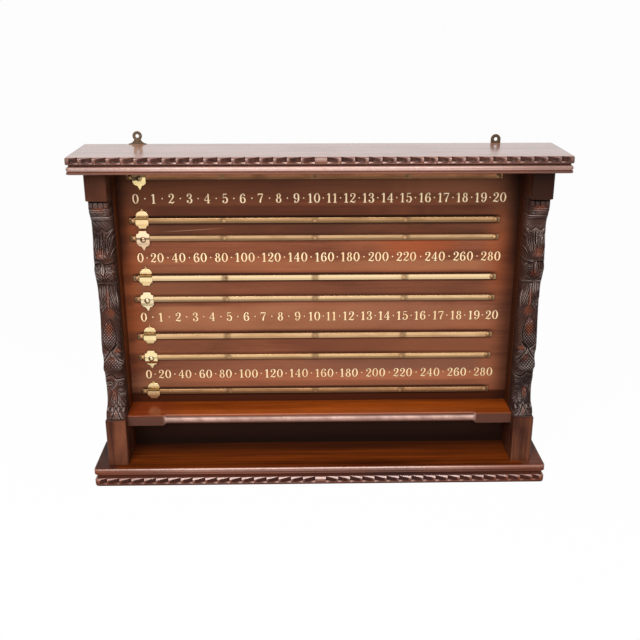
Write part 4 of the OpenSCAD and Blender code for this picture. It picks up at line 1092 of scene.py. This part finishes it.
# Fields between the rails: (from, to, colour, share at the left end, share at the right end).
FIELD_TONES = [(588, 640, (0.24, 0.090, 0.045), 0.0, 0.75), (541, 564, (0.070, 0.022, 0.012), 0.8, 0.85),
               (502, 531, (0.068, 0.025, 0.014), 0.85, 0.95), (429, 450, (0.29, 0.112, 0.052), 0.2, 0.9),
               (378, 404, (0.085, 0.032, 0.018), 0.2, 0.6), (302, 354, (0.28, 0.108, 0.052), 0.95, 0.45),
               (252, 284, (0.18, 0.060, 0.028), 0.0, 0.9), (208, 238, (0.14, 0.064, 0.042), 0.2, 0.75),
               (170, 186, (0.11, 0.042, 0.022), 0.4, 0.6)]
print("the board has", len(BOARD_SPOTS), "spots and", len(FIELD_TONES), "toned fields")

# %% [markdown]
# The tones are soft masks in the board's own coordinates, laid over the grain like thin washes of
# stain: first the spots and fields, then painted shade along the rails, painted dark reflections at
# their left ends, painted shade in the margins, and the scratch.

# %% Wash the tones over the board
def board_toning(bare):
    x, depth, z = place_of(bare)
    patches = noise(object_vector(bare.id_data), (3.5, 5, 11), 5, 0.62, 1.2)
    colour = bare
    for centre, size, tint, share in BOARD_SPOTS:
        spot = times(soft_spot(x, z, centre, size), share, ramp(patches, 0.3, 0.6, 0.4, 1.0))
        colour = blend(spot, colour, tint)
    inner = ramp(size_of(x), 0.31, 0.38, 1.0, 0.0)
    for low, high, tint, left, right in FIELD_TONES:
        field = times(ramp(z, (low - 4) * MM, (low + 4) * MM), ramp(z, (high - 4) * MM, (high + 4) * MM, 1.0, 0.0),
                      ramp(x, -0.34, 0.34, left, right), ramp(patches, 0.3, 0.6, 0.7, 1.0), inner)
        colour = blend(field, colour, tint)

    # The board is nearly black right above the shelf.
    colour = blend(ramp(z, 0.157, 0.165, 0.96, 0.0), colour, (0.045, 0.010, 0.004))

    # Painted shade lies in narrow bands above and below each rail, a painted dark reflection by its left end, and
    # painted shade in both side corners of the board.
    rail_shade = 0.0
    for rail_z, share in zip(RAIL_Z, RAIL_SHADE_SHARES):
        for middle, reach, most in ((rail_z + 6.5, 0.0045, share), (rail_z - 7.0, 0.0060, 0.6 * share)):
            rail_shade = maths("MAXIMUM", rail_shade, ramp(size_of(minus(z, middle * MM)), 0.001, reach, most, 0.0))
    along = ramp(size_of(minus(x, -0.009)), 0.355, 0.377, 1.0, 0.0)
    colour = blend(times(rail_shade, along), colour, (0.016, 0.006, 0.003))
    for rail_z in RAIL_Z[1:]:
        dark_reflection = times(soft_spot(x, z, (-0.389, (rail_z - 3) * MM), (0.016, 0.017)), 0.45)
        colour = blend(dark_reflection, colour, (0.030, 0.011, 0.007))
    for far_out, near, low_share, high_share in ((0.400, 0.350, 0.8, 0.97), (-0.404, -0.370, 0.15, 0.9)):
        margin = times(ramp(x, near, far_out), ramp(z, 0.41, 0.47, low_share, high_share))
        colour = blend(margin, colour, (0.016, 0.006, 0.004))

    # Under the shelf it is painted dark as shade; it has one long scratch, and its back is paler, dry wood.
    colour = blend(ramp(z, 0.108, 0.122, 0.93, 0.0), colour, (0.042, 0.017, 0.011))
    colour = blend(ramp(z, 0.045, 0.095, 0.8, 0.0), colour, (0.006, 0.003, 0.002))
    off_line = size_of(minus(plus(times(x, -0.06), z), 0.5295))
    scratch = times(ramp(off_line, 0.0003, 0.0011, 0.4, 0.0), soft_spot(x, z, (-0.25, 0.515), (0.07, 0.02)))
    colour = blend(scratch, colour, (0.4, 0.22, 0.14))
    back = ramp(depth, (wall_y - board_front + 2) * MM, (wall_y - board_front + 4) * MM)
    return blend(back, colour, blend(0.65, bare, (0.17, 0.10, 0.065)))


BOARD_WOOD = polished_wood("board_wood", (0.245, 0.078, 0.036), (0.105, 0.032, 0.017), move=(0.2, 3.1, 0.4),
                           cloud=0.8, toning=board_toning, coat=0.04, coat_rough=0.2)
print("score board is toned")

# %% [markdown]
# Pieces that keep the solids of the model only get their material here. Where an edge shows, it is
# rounded a little with modifiers, as a plane or a file would leave it; the solid itself stays.

# %% Finish the solids of the model
WELD_REACH, FLAT_ANGLE, SHARP_ANGLE = 0.00002, math.radians(0.5), math.radians(35)


def finish_node(name, material, bevel=0.0):
    """Gives a solid of the model its material and, if asked, softly rounded edges (in mm)."""
    piece = nodes[name]
    piece.data.materials.clear()
    piece.data.materials.append(material)
    if bevel:
        weld = piece.modifiers.new("weld", "WELD")
        weld.merge_threshold = WELD_REACH
        planar = piece.modifiers.new("flat faces in one", "DECIMATE")
        planar.decimate_type = "DISSOLVE"
        planar.angle_limit = FLAT_ANGLE
        edge = piece.modifiers.new("soft edges", "BEVEL")
        edge.width = bevel * MM
        edge.segments = 2
        edge.limit_method = "ANGLE"
        edge.angle_limit = SHARP_ANGLE
        edge.harden_normals = False


finish_node("score_board", BOARD_WOOD)
print("score board is finished")

# %% [markdown]
# The shelf is orange-brown where chalk and hands have worn its polish. The sides are darker and
# their grain is upright. The hidden dowels are plain, dry wood.

# %% Woods of the shelf, the sides and the dowels
shelf_low, shelf_high = span("shelf")
shelf_front, shelf_top = shelf_high[1:]


def shelf_toning(colour):
    x, _, z = place_of(colour)
    redder = times(soft_spot(x, z, (-0.37, 0.14), (0.10, 0.05)), 0.6)
    colour = blend(redder, colour, (0.16, 0.024, 0.008))
    front = ramp(z, (shelf_top - 2.5) * MM, (shelf_top - 0.8) * MM, 0.85, 0.0)
    return blend(front, colour, (0.070, 0.034, 0.026))


def side_toning(colour):
    x, _, z = place_of(colour)
    colour = blend(ramp(z, 0.12, 0.5, 0.0, 0.45), colour, (0.05, 0.017, 0.009))
    return blend(ramp(x, -0.1, 0.1, 0.0, 0.65), colour, (0.028, 0.009, 0.005))


SHELF_WOOD = polished_wood("shelf_wood", (0.36, 0.075, 0.008), (0.15, 0.026, 0.003), move=(2.1, 0.7, 0.9),
                           toning=shelf_toning, gloss=(0.35, 0.5), coat=0.6, flat_gloss=0.09, coat_rough=0.2,
                           carved=dict(CARVED_EDGE, Rubbed=(0.74, 0.48, 0.40, 1)))
SIDE_WOOD = polished_wood("side_wood", (0.17, 0.042, 0.010), (0.055, 0.013, 0.004), turn=ALONG_Z,
                          move=(0.7, 1.3, 0.2), toning=side_toning, coat=0.03)
DOWEL_WOOD = polished_wood("dowel_wood", (0.45, 0.28, 0.16), (0.28, 0.16, 0.09), turn=ALONG_Z, coat=0.0,
                           gloss=(0.6, 0.8), move=(0.1, 0.2, 0.3))
finish_node("left_side_panel", SIDE_WOOD, 0.8)
finish_node("right_side_panel", SIDE_WOOD, 0.8)
finish_node("cornice_dowels", DOWEL_WOOD, 0.3)
print("polished the sides")

# %% [markdown]
# The shelf has a rounded moulding along its front, which stops short of both ends in a small ogee and
# leaves a square block there. It is one section, swept along x: "nose" tells how far the section has
# gone from the block (0) to the full moulding (1). Its roundings carry painted highlights, and the
# underside of the moulding painted shade.

# %% Shelf
SHELF_HALF, NOSE_X, OGEE, NOSE_LIFT = post_low[0] - 0.1, post_low[0] - 71, 9.0, 3.0


def shelf_section(nose, highlight_mottle):
    """Points (front, height, painted shade, painted highlight) from the back's lower edge over the top and round
    the front.
    """
    def turn(degrees, reach, rise, centre_z):
        a = math.radians(degrees)
        return shelf_front - reach + reach * math.cos(a), centre_z + rise * math.sin(a)

    low = shelf_low[2] + NOSE_LIFT * nose
    rows = [(board_front + 0.05, low, 0.0, 0.0), (board_front + 0.05, shelf_top, 0.0, 0.0)]
    # Pale values on the roundings are painted highlights, and dark ones under the nose painted shade.
    reach, rise = 0.7 + 5.8 * nose, 0.7 + 7.8 * nose
    for degrees in range(90, -1, -10):
        bright = highlight_mottle * nose * math.exp(-((degrees - 9) / 15) ** 2) + 0.3 * nose * (degrees in (70, 80))
        bright += 0.4 * (1 - nose) * (degrees in (40, 50, 60))
        rows.append((*turn(degrees, reach, rise, shelf_top - rise), 0.0, bright))
    reach, rise = 0.7 + 5.3 * nose, 0.7 + 4.5 * nose
    for degrees in range(0, -91, -18):
        rows.append((*turn(degrees, reach, rise, low + rise), 0.6 * nose * (degrees < -40),
                     0.1 * nose * (degrees == 0)))
    return rows


half_x = [(NOSE_X - OGEE) * i / 24 for i in range(25)] + [NOSE_X - OGEE + OGEE * i / 8 for i in range(1, 9)]
half_x += [NOSE_X + 30, SHELF_HALF]
hand = random.Random(11)
points, grime_and_shade, scuff_and_highlight = [], [], []
for x in [-x for x in half_x[::-1]] + half_x[1:]:
    nose = float(smooth_step(NOSE_X - abs(x), 0.0, OGEE))
    rows = shelf_section(nose, hand.uniform(0.6, 1.1))
    points += [(x, front, z) for front, z, _, _ in rows]
    grime_and_shade += [row[2] for row in rows]
    scuff_and_highlight += [row[3] for row in rows]
n, total = len(rows), len(points)
faces = [(k + i, k + (i + 1) % n, k + n + (i + 1) % n, k + n + i) for k in range(0, total - n, n) for i in range(n)]
faces += [[*range(n)], [*range(total - 1, total - n - 1, -1)]]
shelf = add_piece("shelf_board", points, faces, SHELF_WOOD, "shelf_wood", "shelf", smooth=35)
store_wear(shelf, grime_and_shade, scuff_and_highlight)
print("shelf has", len(points), "points")

# %% [markdown]
# The numbers are transfers with thick and thin strokes, like old printers' figures: units from 0 to
# 20 over rails 1 and 5, and tens from 0 to 280 over rails 3 and 7. Each figure is described in
# hundredths of its height, as its width and a list of strokes and rings. A stroke is written as
# across, up and width of each of its points, since it swells as a broad pen does. Balls end the
# curves of 2, 3, 5, 6 and 9.

# %% Figures
def ring(x, y, out_w, out_h, in_w, in_h, steps=28):
    return ("ring", x, y, out_w, out_h, in_w, in_h, steps)


def ball(x, y, r, steps=28):
    return ring(x, y, r, r, 0, 0, steps)


def turned(shape, width):
    """A stroke or ring turned upside down inside a figure of this width."""
    if shape[0] == "ring":
        return ("ring", width - shape[1], 100 - shape[2], *shape[3:])
    return [value for x, y, w in zip(shape[::3], shape[1::3], shape[2::3]) for value in (width - x, 100 - y, w)]


FIGURES = {
    "0": (66, [ring(33, 50, 32, 50, 17, 45)]),
    "1": (50, [(25.5, 2, 17, 25.5, 97, 17), (2, 80, 4, 12, 86, 7, 24, 97, 10), (8, 3, 6, 43, 3, 6)]),
    "2": (60, [ball(13, 72, 8.5),
               (8, 74, 5, 10, 88, 5, 30, 97.5, 5, 48, 88, 14, 50, 70, 17, 38, 46, 12, 16, 22, 6, 3, 3, 6),
               (3, 6, 6, 18, 12, 12, 38, 5, 13, 52, 9, 7, 57, 25, 4)]),
    "3": (60, [ball(12, 78, 8), ball(12, 22, 8.5),
               (6, 80, 5, 12, 92, 5, 30, 97.5, 6, 46, 85, 15, 46, 68, 15, 32, 54, 6, 20, 53, 5),
               (22, 53, 5, 40, 48, 8, 52, 30, 17, 46, 10, 14, 28, 2.5, 5, 10, 8, 5, 4, 22, 5)]),
    "4": (64, [(42, 4, 16, 42, 98, 14), (44, 97, 5, 2, 33, 5), (2, 30, 5.5, 62, 30, 5.5), (26, 3, 5, 58, 3, 5)]),
    "5": (60, [(12, 93, 10, 50, 95, 7), (12, 93, 4.5, 10, 52, 4.5), ball(12, 21, 8),
               (10, 52, 5, 24, 62, 6, 44, 56, 13, 53, 34, 17, 45, 10, 13, 26, 2.5, 5, 9, 8, 5, 4, 20, 5)]),
    "6": (62, [ball(47, 82, 8),
               (53, 84, 5, 46, 95, 5, 32, 97.5, 6, 13, 78, 13, 8.5, 45, 17, 14, 14, 14, 31, 2.5, 5, 50, 14, 14,
                53, 32, 17, 48, 50, 13, 33, 60, 5, 15, 48, 5)]),
    "7": (58, [(3, 92, 12, 50, 93, 12), (3, 97, 4, 2, 72, 4), (54, 93, 6, 40, 62, 9, 28, 30, 15, 26, 3, 17)]),
    "8": (60, [ring(30, 75.5, 22, 22.5, 10, 18.5), ring(30, 28.5, 28, 28.5, 13, 24)])}
FIGURES["9"] = (FIGURES["6"][0], [turned(shape, FIGURES["6"][0]) for shape in FIGURES["6"][1]])
print("figures:", "".join(sorted(FIGURES)))

# %% [markdown]
# A stroke becomes a strip of quads with a rounded end, a ring becomes a band between two ellipses. The
# same shapes, a little wider and a hair lower, make the dark outline that every figure has. Each shape
# of a figure lies in a very thin layer of its own, so that no two of them share a plane.

# %% Strips and rings
def stroke_shape(line, grow):
    """The two sides of one stroke, grown all round."""
    count = len(line) // 3
    knots = np.linspace(0, 1, count)
    fine = np.linspace(0, 1, 5 * (count - 1) + 1) if count > 2 else knots
    x, y, w = (smooth_curve(knots, line[i::3], fine) for i in range(3))
    middle = np.stack([x, y], 1)
    along = np.stack([np.gradient(x), np.gradient(y)], 1)
    along /= np.hypot(*along.T)[:, None]
    middle[0] -= along[0] * grow
    middle[-1] += along[-1] * grow
    side = along[:, ::-1] * (-1, 1) * (0.42 * w + 0.4 + grow)[:, None]
    return middle + side, middle - side


def ring_shape(x, y, out_w, out_h, in_w, in_h, steps, grow):
    """The outer and the inner ellipse of one ring, grown both ways."""
    angle = np.linspace(0, 2 * math.pi, steps + 1)
    return [np.stack([x + w * np.cos(angle), y + h * np.sin(angle)], 1)
            for w, h in ((out_w + grow, out_h + grow), (max(in_w - grow, 0), max(in_h - grow, 0)))]


# Layer: share of the rim it grows by, how far it lies in front of the board, more for each shape (mm).
LAYERS = {"paint": (0.0, 0.10, 0.012), "outline": (1.0, 0.04, 0.006)}


def add_shape(layers, shape, place, unit, rim, order=0):
    """Adds one stroke or ring to both layers; place (x, z) and unit are in mm, rim is in units."""
    for layer, (share, lift, step) in LAYERS.items():
        points, faces = layers[layer]
        sides = ring_shape(*shape[1:], rim * share) if shape[0] == "ring" else stroke_shape(shape, rim * share)
        first = len(points)
        points += [(place[0] + a * unit, board_front + lift + step * order, place[1] + b * unit)
                   for pair in zip(*sides) for a, b in pair]
        faces += [(i, i + 1, i + 3, i + 2) for i in range(first, len(points) - 2, 2)]


NUMBER_HEIGHT = 19.0
UNIT = NUMBER_HEIGHT / 100
GAP, FIGURE_RIM = 12, 3.2


def text_width(text):
    return (sum(FIGURES[c][0] for c in text) + GAP * (len(text) - 1)) * UNIT


def add_text(layers, text, x, z, hand):
    """A number with its middle at x, z; each figure sits a little high or low."""
    x -= text_width(text) / 2
    for character in text:
        width, shapes = FIGURES[character]
        place = (x, z - NUMBER_HEIGHT / 2 + hand.uniform(-0.2, 0.2))
        for order, shape in enumerate(shapes):
            add_shape(layers, shape, place, UNIT, FIGURE_RIM, order)
        x += (width + GAP) * UNIT


print("width of 280:", round(text_width("280"), 1), "mm")

# %% [markdown]
# The transfers have worn: their cream has yellowed unevenly and it has small rubbed and cracked spots
# where the dark wood shows. The outline is a thin dark brown. The first row lies in the shade of the
# cornice, and its cream is made lighter there: painted light that makes up for that shade.

# %% Numbers
def worn_paint(name, colour, aged, wood):
    material, shader = new_material(name, Specular_IOR_Level=0.3)
    vector = object_vector(material.node_tree)
    yellowed = blend(ramp(noise(vector, (26, 26, 26), 4, 0.6), 0.35, 0.65), colour, aged)
    specks = noise(vector, (420, 420, 420), 3, 0.6)
    give_surface(shader, blend(ramp(specks, 0.64, 0.7, 0.0, 0.6), yellowed, wood),
                 ramp(specks, 0.3, 0.7, 0.42, 0.7), specks, 0.2, 0.0001)
    return material


NUMBER_PAINT = worn_paint("number_paint", (0.88, 0.64, 0.37), (0.76, 0.50, 0.26), (0.25, 0.10, 0.05))
LIGHTENED_PAINT_FOR_SHADE = worn_paint("number_paint_lightened_for_shade", (1.0, 0.78, 0.50), (0.94, 0.68, 0.40), (0.25, 0.10, 0.05))
OUTLINE_PAINT = worn_paint("number_outline", (0.055, 0.026, 0.018), (0.09, 0.04, 0.025), (0.12, 0.05, 0.03))
DOT, DOT_RIM = ball(0, 0, 1.3, 14), 0.45
UNITS, TENS = [str(n) for n in range(21)], [str(20 * n) for n in range(15)]
UNIT_X = [-361.5 + 35.1 * n if n <= 12 else 59.7 + 37.2 * (n - 12) for n in range(21)]
TEN_X = np.cumsum([-360.0, 33.5, 43, 43, 42.5, 48, 53, 53, 54, 52, 57, 57, 58, 57, 56])
# Height of the middle of each row, its numbers and their places across.
NUMBER_ROWS = [(578.2, UNITS, UNIT_X), (457.6, TENS, TEN_X), (330.9, UNITS, UNIT_X), (203.0, TENS, TEN_X)]
hand = random.Random(4)
for row, (z, texts, places) in enumerate(NUMBER_ROWS, 1):
    layers = {layer: ([], []) for layer in LAYERS}
    for i, (text, x) in enumerate(zip(texts, places)):
        add_text(layers, text, x + hand.uniform(-0.4, 0.4), z, hand)
        if text != texts[-1]:
            gap_from, gap_to = x + text_width(text) / 2, places[i + 1] - text_width(texts[i + 1]) / 2
            add_shape(layers, DOT, ((gap_from + gap_to) / 2, z), 1.0, DOT_RIM)
    for layer, material in (("paint", LIGHTENED_PAINT_FOR_SHADE if row == 1 else NUMBER_PAINT), ("outline", OUTLINE_PAINT)):
        add_piece(f"numbers_row_{row}_{layer}", *layers[layer], material, "board_wood")
    print("row", row, "has", len(texts), "numbers")

# %% [markdown]
# The brass is old and handled. The pointers are bright from fingers. The rails have cloudy tarnish
# along their length and grow browner near the screws; their lower edge is painted darker as a dark
# reflection. The rail right under the cornice is the dullest, as painted shade, and the lowest one is
# dull too.

# %% Tarnish node group
def make_tarnish_group():
    group, given = open_group("brass tarnish", Vector=None, Bright_Brass=(0.9, 0.65, 0.32, 1),
                              Dull_Brass=(0.45, 0.27, 0.1, 1), Tarnish=0.4)
    clouds = noise(given["Vector"], (14, 60, 60), 5, 0.62, 0.5)
    spots = noise(given["Vector"], (300, 300, 300), 3, 0.6)
    scratches = noise(given["Vector"], (40, 2500, 2500), 2, 0.5)
    share = plus(times(ramp(clouds, 0.35, 0.7), given["Tarnish"]), ramp(spots, 0.6, 0.75, 0.0, 0.35), clamp=True)
    colour = blend(share, given["Bright Brass"], given["Dull Brass"])
    rough = plus(plus(times(share, 0.22), times(scratches, 0.18)), 0.16)
    return close_group(group, Color=colour, Roughness=rough, Scratches=scratches)


TARNISH = make_tarnish_group()


def aged_brass(name, bright, dull, tarnish, move=(0, 0, 0), toning=None, rougher=0.0):
    material, shader = new_material(name, Metallic=1.0)
    tree = material.node_tree
    age = place_group(tree, TARNISH, Bright_Brass=(*bright, 1), Dull_Brass=(*dull, 1), Tarnish=tarnish,
                      Vector=object_vector(tree, move=move))
    colour = toning(age["Color"]) if toning else age["Color"]
    give_surface(shader, colour, plus(age["Roughness"], rougher), age["Scratches"], 0.1, 0.0001)
    return material


print("brass recipe is ready")

# %% [markdown]
# Each rail has its own mix. Along the lower edge each is painted darker as a dark reflection, and it
# is browner around each screw; its left end is dark with patina and painted shade.

# %% Rails
# Bright brass, dull brass and share of tarnish of each rail, from the top; the first rail's darker
# brass is painted shade under the cornice.
RAIL_LOOKS = [((0.31, 0.125, 0.058), (0.17, 0.068, 0.032), 0.9), ((0.58, 0.34, 0.16), (0.26, 0.14, 0.06), 0.75),
              ((0.70, 0.44, 0.23), (0.34, 0.19, 0.09), 0.65), ((1.0, 0.75, 0.43), (0.78, 0.50, 0.26), 0.4),
              ((0.90, 0.62, 0.34), (0.52, 0.31, 0.15), 0.55), ((0.80, 0.50, 0.26), (0.42, 0.23, 0.10), 0.6),
              ((0.82, 0.52, 0.26), (0.44, 0.24, 0.10), 0.65), ((0.64, 0.37, 0.18), (0.30, 0.16, 0.07), 0.75)]
FAINTER_REFLECTION_RAILS = (4, 6)
stop_low, stop_high = span("rail_stop_screws")
SCREW_X = [stop_low[0] + (stop_high[0] - stop_low[0]) * i / 4 for i in range(5)]


def rail_toning(middle, dark_reflection):
    def toning(colour):
        x, _, z = place_of(colour)
        # Painted dark reflection along the lower edge.
        lower = ramp(z, (middle - 2.4) * MM, (middle + 1.6) * MM, dark_reflection, 0.0)
        colour = blend(lower, colour, (0.13, 0.07, 0.035))
        for screw in SCREW_X:
            near = ramp(size_of(minus(x, screw * MM)), 0.003, 0.011, 0.7, 0.0)
            colour = blend(near, colour, (0.2, 0.11, 0.055))
        # The left end is dark with patina and painted shade.
        start = ramp(x, (SCREW_X[0] - 3.0) * MM, (SCREW_X[0] + 1.0) * MM, 0.95, 0.0)
        return blend(start, colour, (0.038, 0.016, 0.008))
    return toning


for number, (look, middle) in enumerate(zip(RAIL_LOOKS, RAIL_Z), 1):
    material = aged_brass(f"rail_{number}_brass", *look, (number * 0.7, 0.3, number * 0.2),
                          rail_toning(middle, 0.35 if number in FAINTER_REFLECTION_RAILS else 0.75))
    finish_node(f"score_rail_{number}", material, 0.25)
print("rails are tarnished")

# %% [markdown]
# The pointers slide on the rails. Fingers keep their faces bright. Those that point up have a duller
# tip, a painted dark reflection on the slope above the fold, and a lower tab painted darker as shade.
# Those that point down have a painted shade line in the fold, with grime there on the third, and
# painted shade in the hollow ring round the boss; the first is painted dull above its fold and round
# its boss as the shade of the cornice. Their edges are softened, since they are cast and filed.

# %% Pointers
# Bright brass and share of tarnish of each pointer, from the top.
POINTER_LOOKS = [((1.0, 0.80, 0.38), 0.1), ((1.0, 0.74, 0.40), 0.4), ((1.0, 0.74, 0.50), 0.5),
                 ((1.0, 0.80, 0.44), 0.4), ((1.0, 0.84, 0.53), 0.3), ((1.0, 0.80, 0.44), 0.4),
                 ((1.0, 0.82, 0.46), 0.35), ((1.0, 0.79, 0.42), 0.4)]
POINTER_X = (span("pointer_2")[0][0] + span("pointer_2")[1][0]) / 2
# Colour of grime and of painted shade on the pointers.
DIRT_AND_SHADE = (0.12, 0.065, 0.032)


def pointing_up(number, colour):
    """A painted dark reflection on the slope above the fold, a duller tip and a tab under the rail painted darker
    as shade.
    """
    _, _, z = place_of(colour)
    rise = minus(z, RAIL_Z[number - 1] * MM)
    band = times(ramp(rise, 0.0020, 0.0027, 0.0, 0.94), ramp(rise, 0.0075, 0.0130, 1.0, 0.0))
    colour = blend(band, colour, (0.17, 0.080, 0.020))
    colour = blend(ramp(rise, 0.017, 0.020, 0.0, 0.7), colour, (0.34, 0.15, 0.04))
    tab = 0.6 if number > 5 else 0.25
    return blend(ramp(rise, -0.014, -0.008, tab, 0.0), colour, (0.40, 0.20, 0.06))


def pointing_down(number, colour):
    """A painted shade line in the fold, grime there on the third pointer, painted shade round the boss; the first
    is painted dull as cornice shade.
    """
    x, _, z = place_of(colour)
    rise = minus(z, RAIL_Z[number - 1] * MM)
    wide = 0.0028 if number == 3 else 0.0009
    colour = blend(ramp(size_of(plus(rise, -0.0005)), wide * 0.5, wide, 0.85, 0.0), colour, DIRT_AND_SHADE)
    across, down = minus(x, POINTER_X * MM), plus(rise, 0.002)
    radius = maths("SQRT", plus(times(across, across), times(down, down)))
    colour = blend(ramp(size_of(minus(radius, 0.0050)), 0.0007, 0.0017, 0.9, 0.0), colour, DIRT_AND_SHADE)
    if number == 1:
        dull = maths("MAXIMUM", ramp(rise, 0.0, 0.0015, 0.0, 0.92), ramp(radius, 0.0025, 0.0042, 0.85, 0.0))
        colour = blend(dull, colour, (0.11, 0.055, 0.028))
    return colour


def pointer_toning(number):
    def toning(colour):
        return (pointing_down if number % 2 else pointing_up)(number, colour)
    return toning


for number, (bright, tarnish) in enumerate(POINTER_LOOKS, 1):
    dull = (bright[0] * 0.62, bright[1] * 0.5, bright[2] * 0.38)
    material = aged_brass(f"pointer_{number}_brass", bright, dull, tarnish, (number * 1.3, 0.1, 0.6),
                          pointer_toning(number))
    finish_node(f"pointer_{number}", material, 0.25)
print("pointers are finished")

# %% [markdown]
# The small iron and brass work: rail screws darker than the rails, hangers nearly black with age, and
# plain steel screws where nobody looks.

# %% Screws and hangers
SCREW_BRASS = aged_brass("screw_brass", (0.48, 0.28, 0.14), (0.12, 0.06, 0.03), 0.8, rougher=0.25)
HANGER_BRASS = aged_brass("hanger_brass", (0.12, 0.08, 0.05), (0.035, 0.024, 0.018), 0.8)
PLAIN_STEEL = aged_brass("plain_steel", (0.5, 0.5, 0.5), (0.25, 0.24, 0.23), 0.6)
for material, bevel, *names in ((SCREW_BRASS, 0.25, "rail_stop_screws"), (SCREW_BRASS, 0.15, "rail_flush_screws"),
                                (HANGER_BRASS, 0.5, "left_hanger", "right_hanger"),
                                (PLAIN_STEEL, 0.2, "hanger_screws", "base_screws", "board_screws", "shelf_screws")):
    for name in names:
        finish_node(name, material, bevel)
print("screws and hangers are finished")
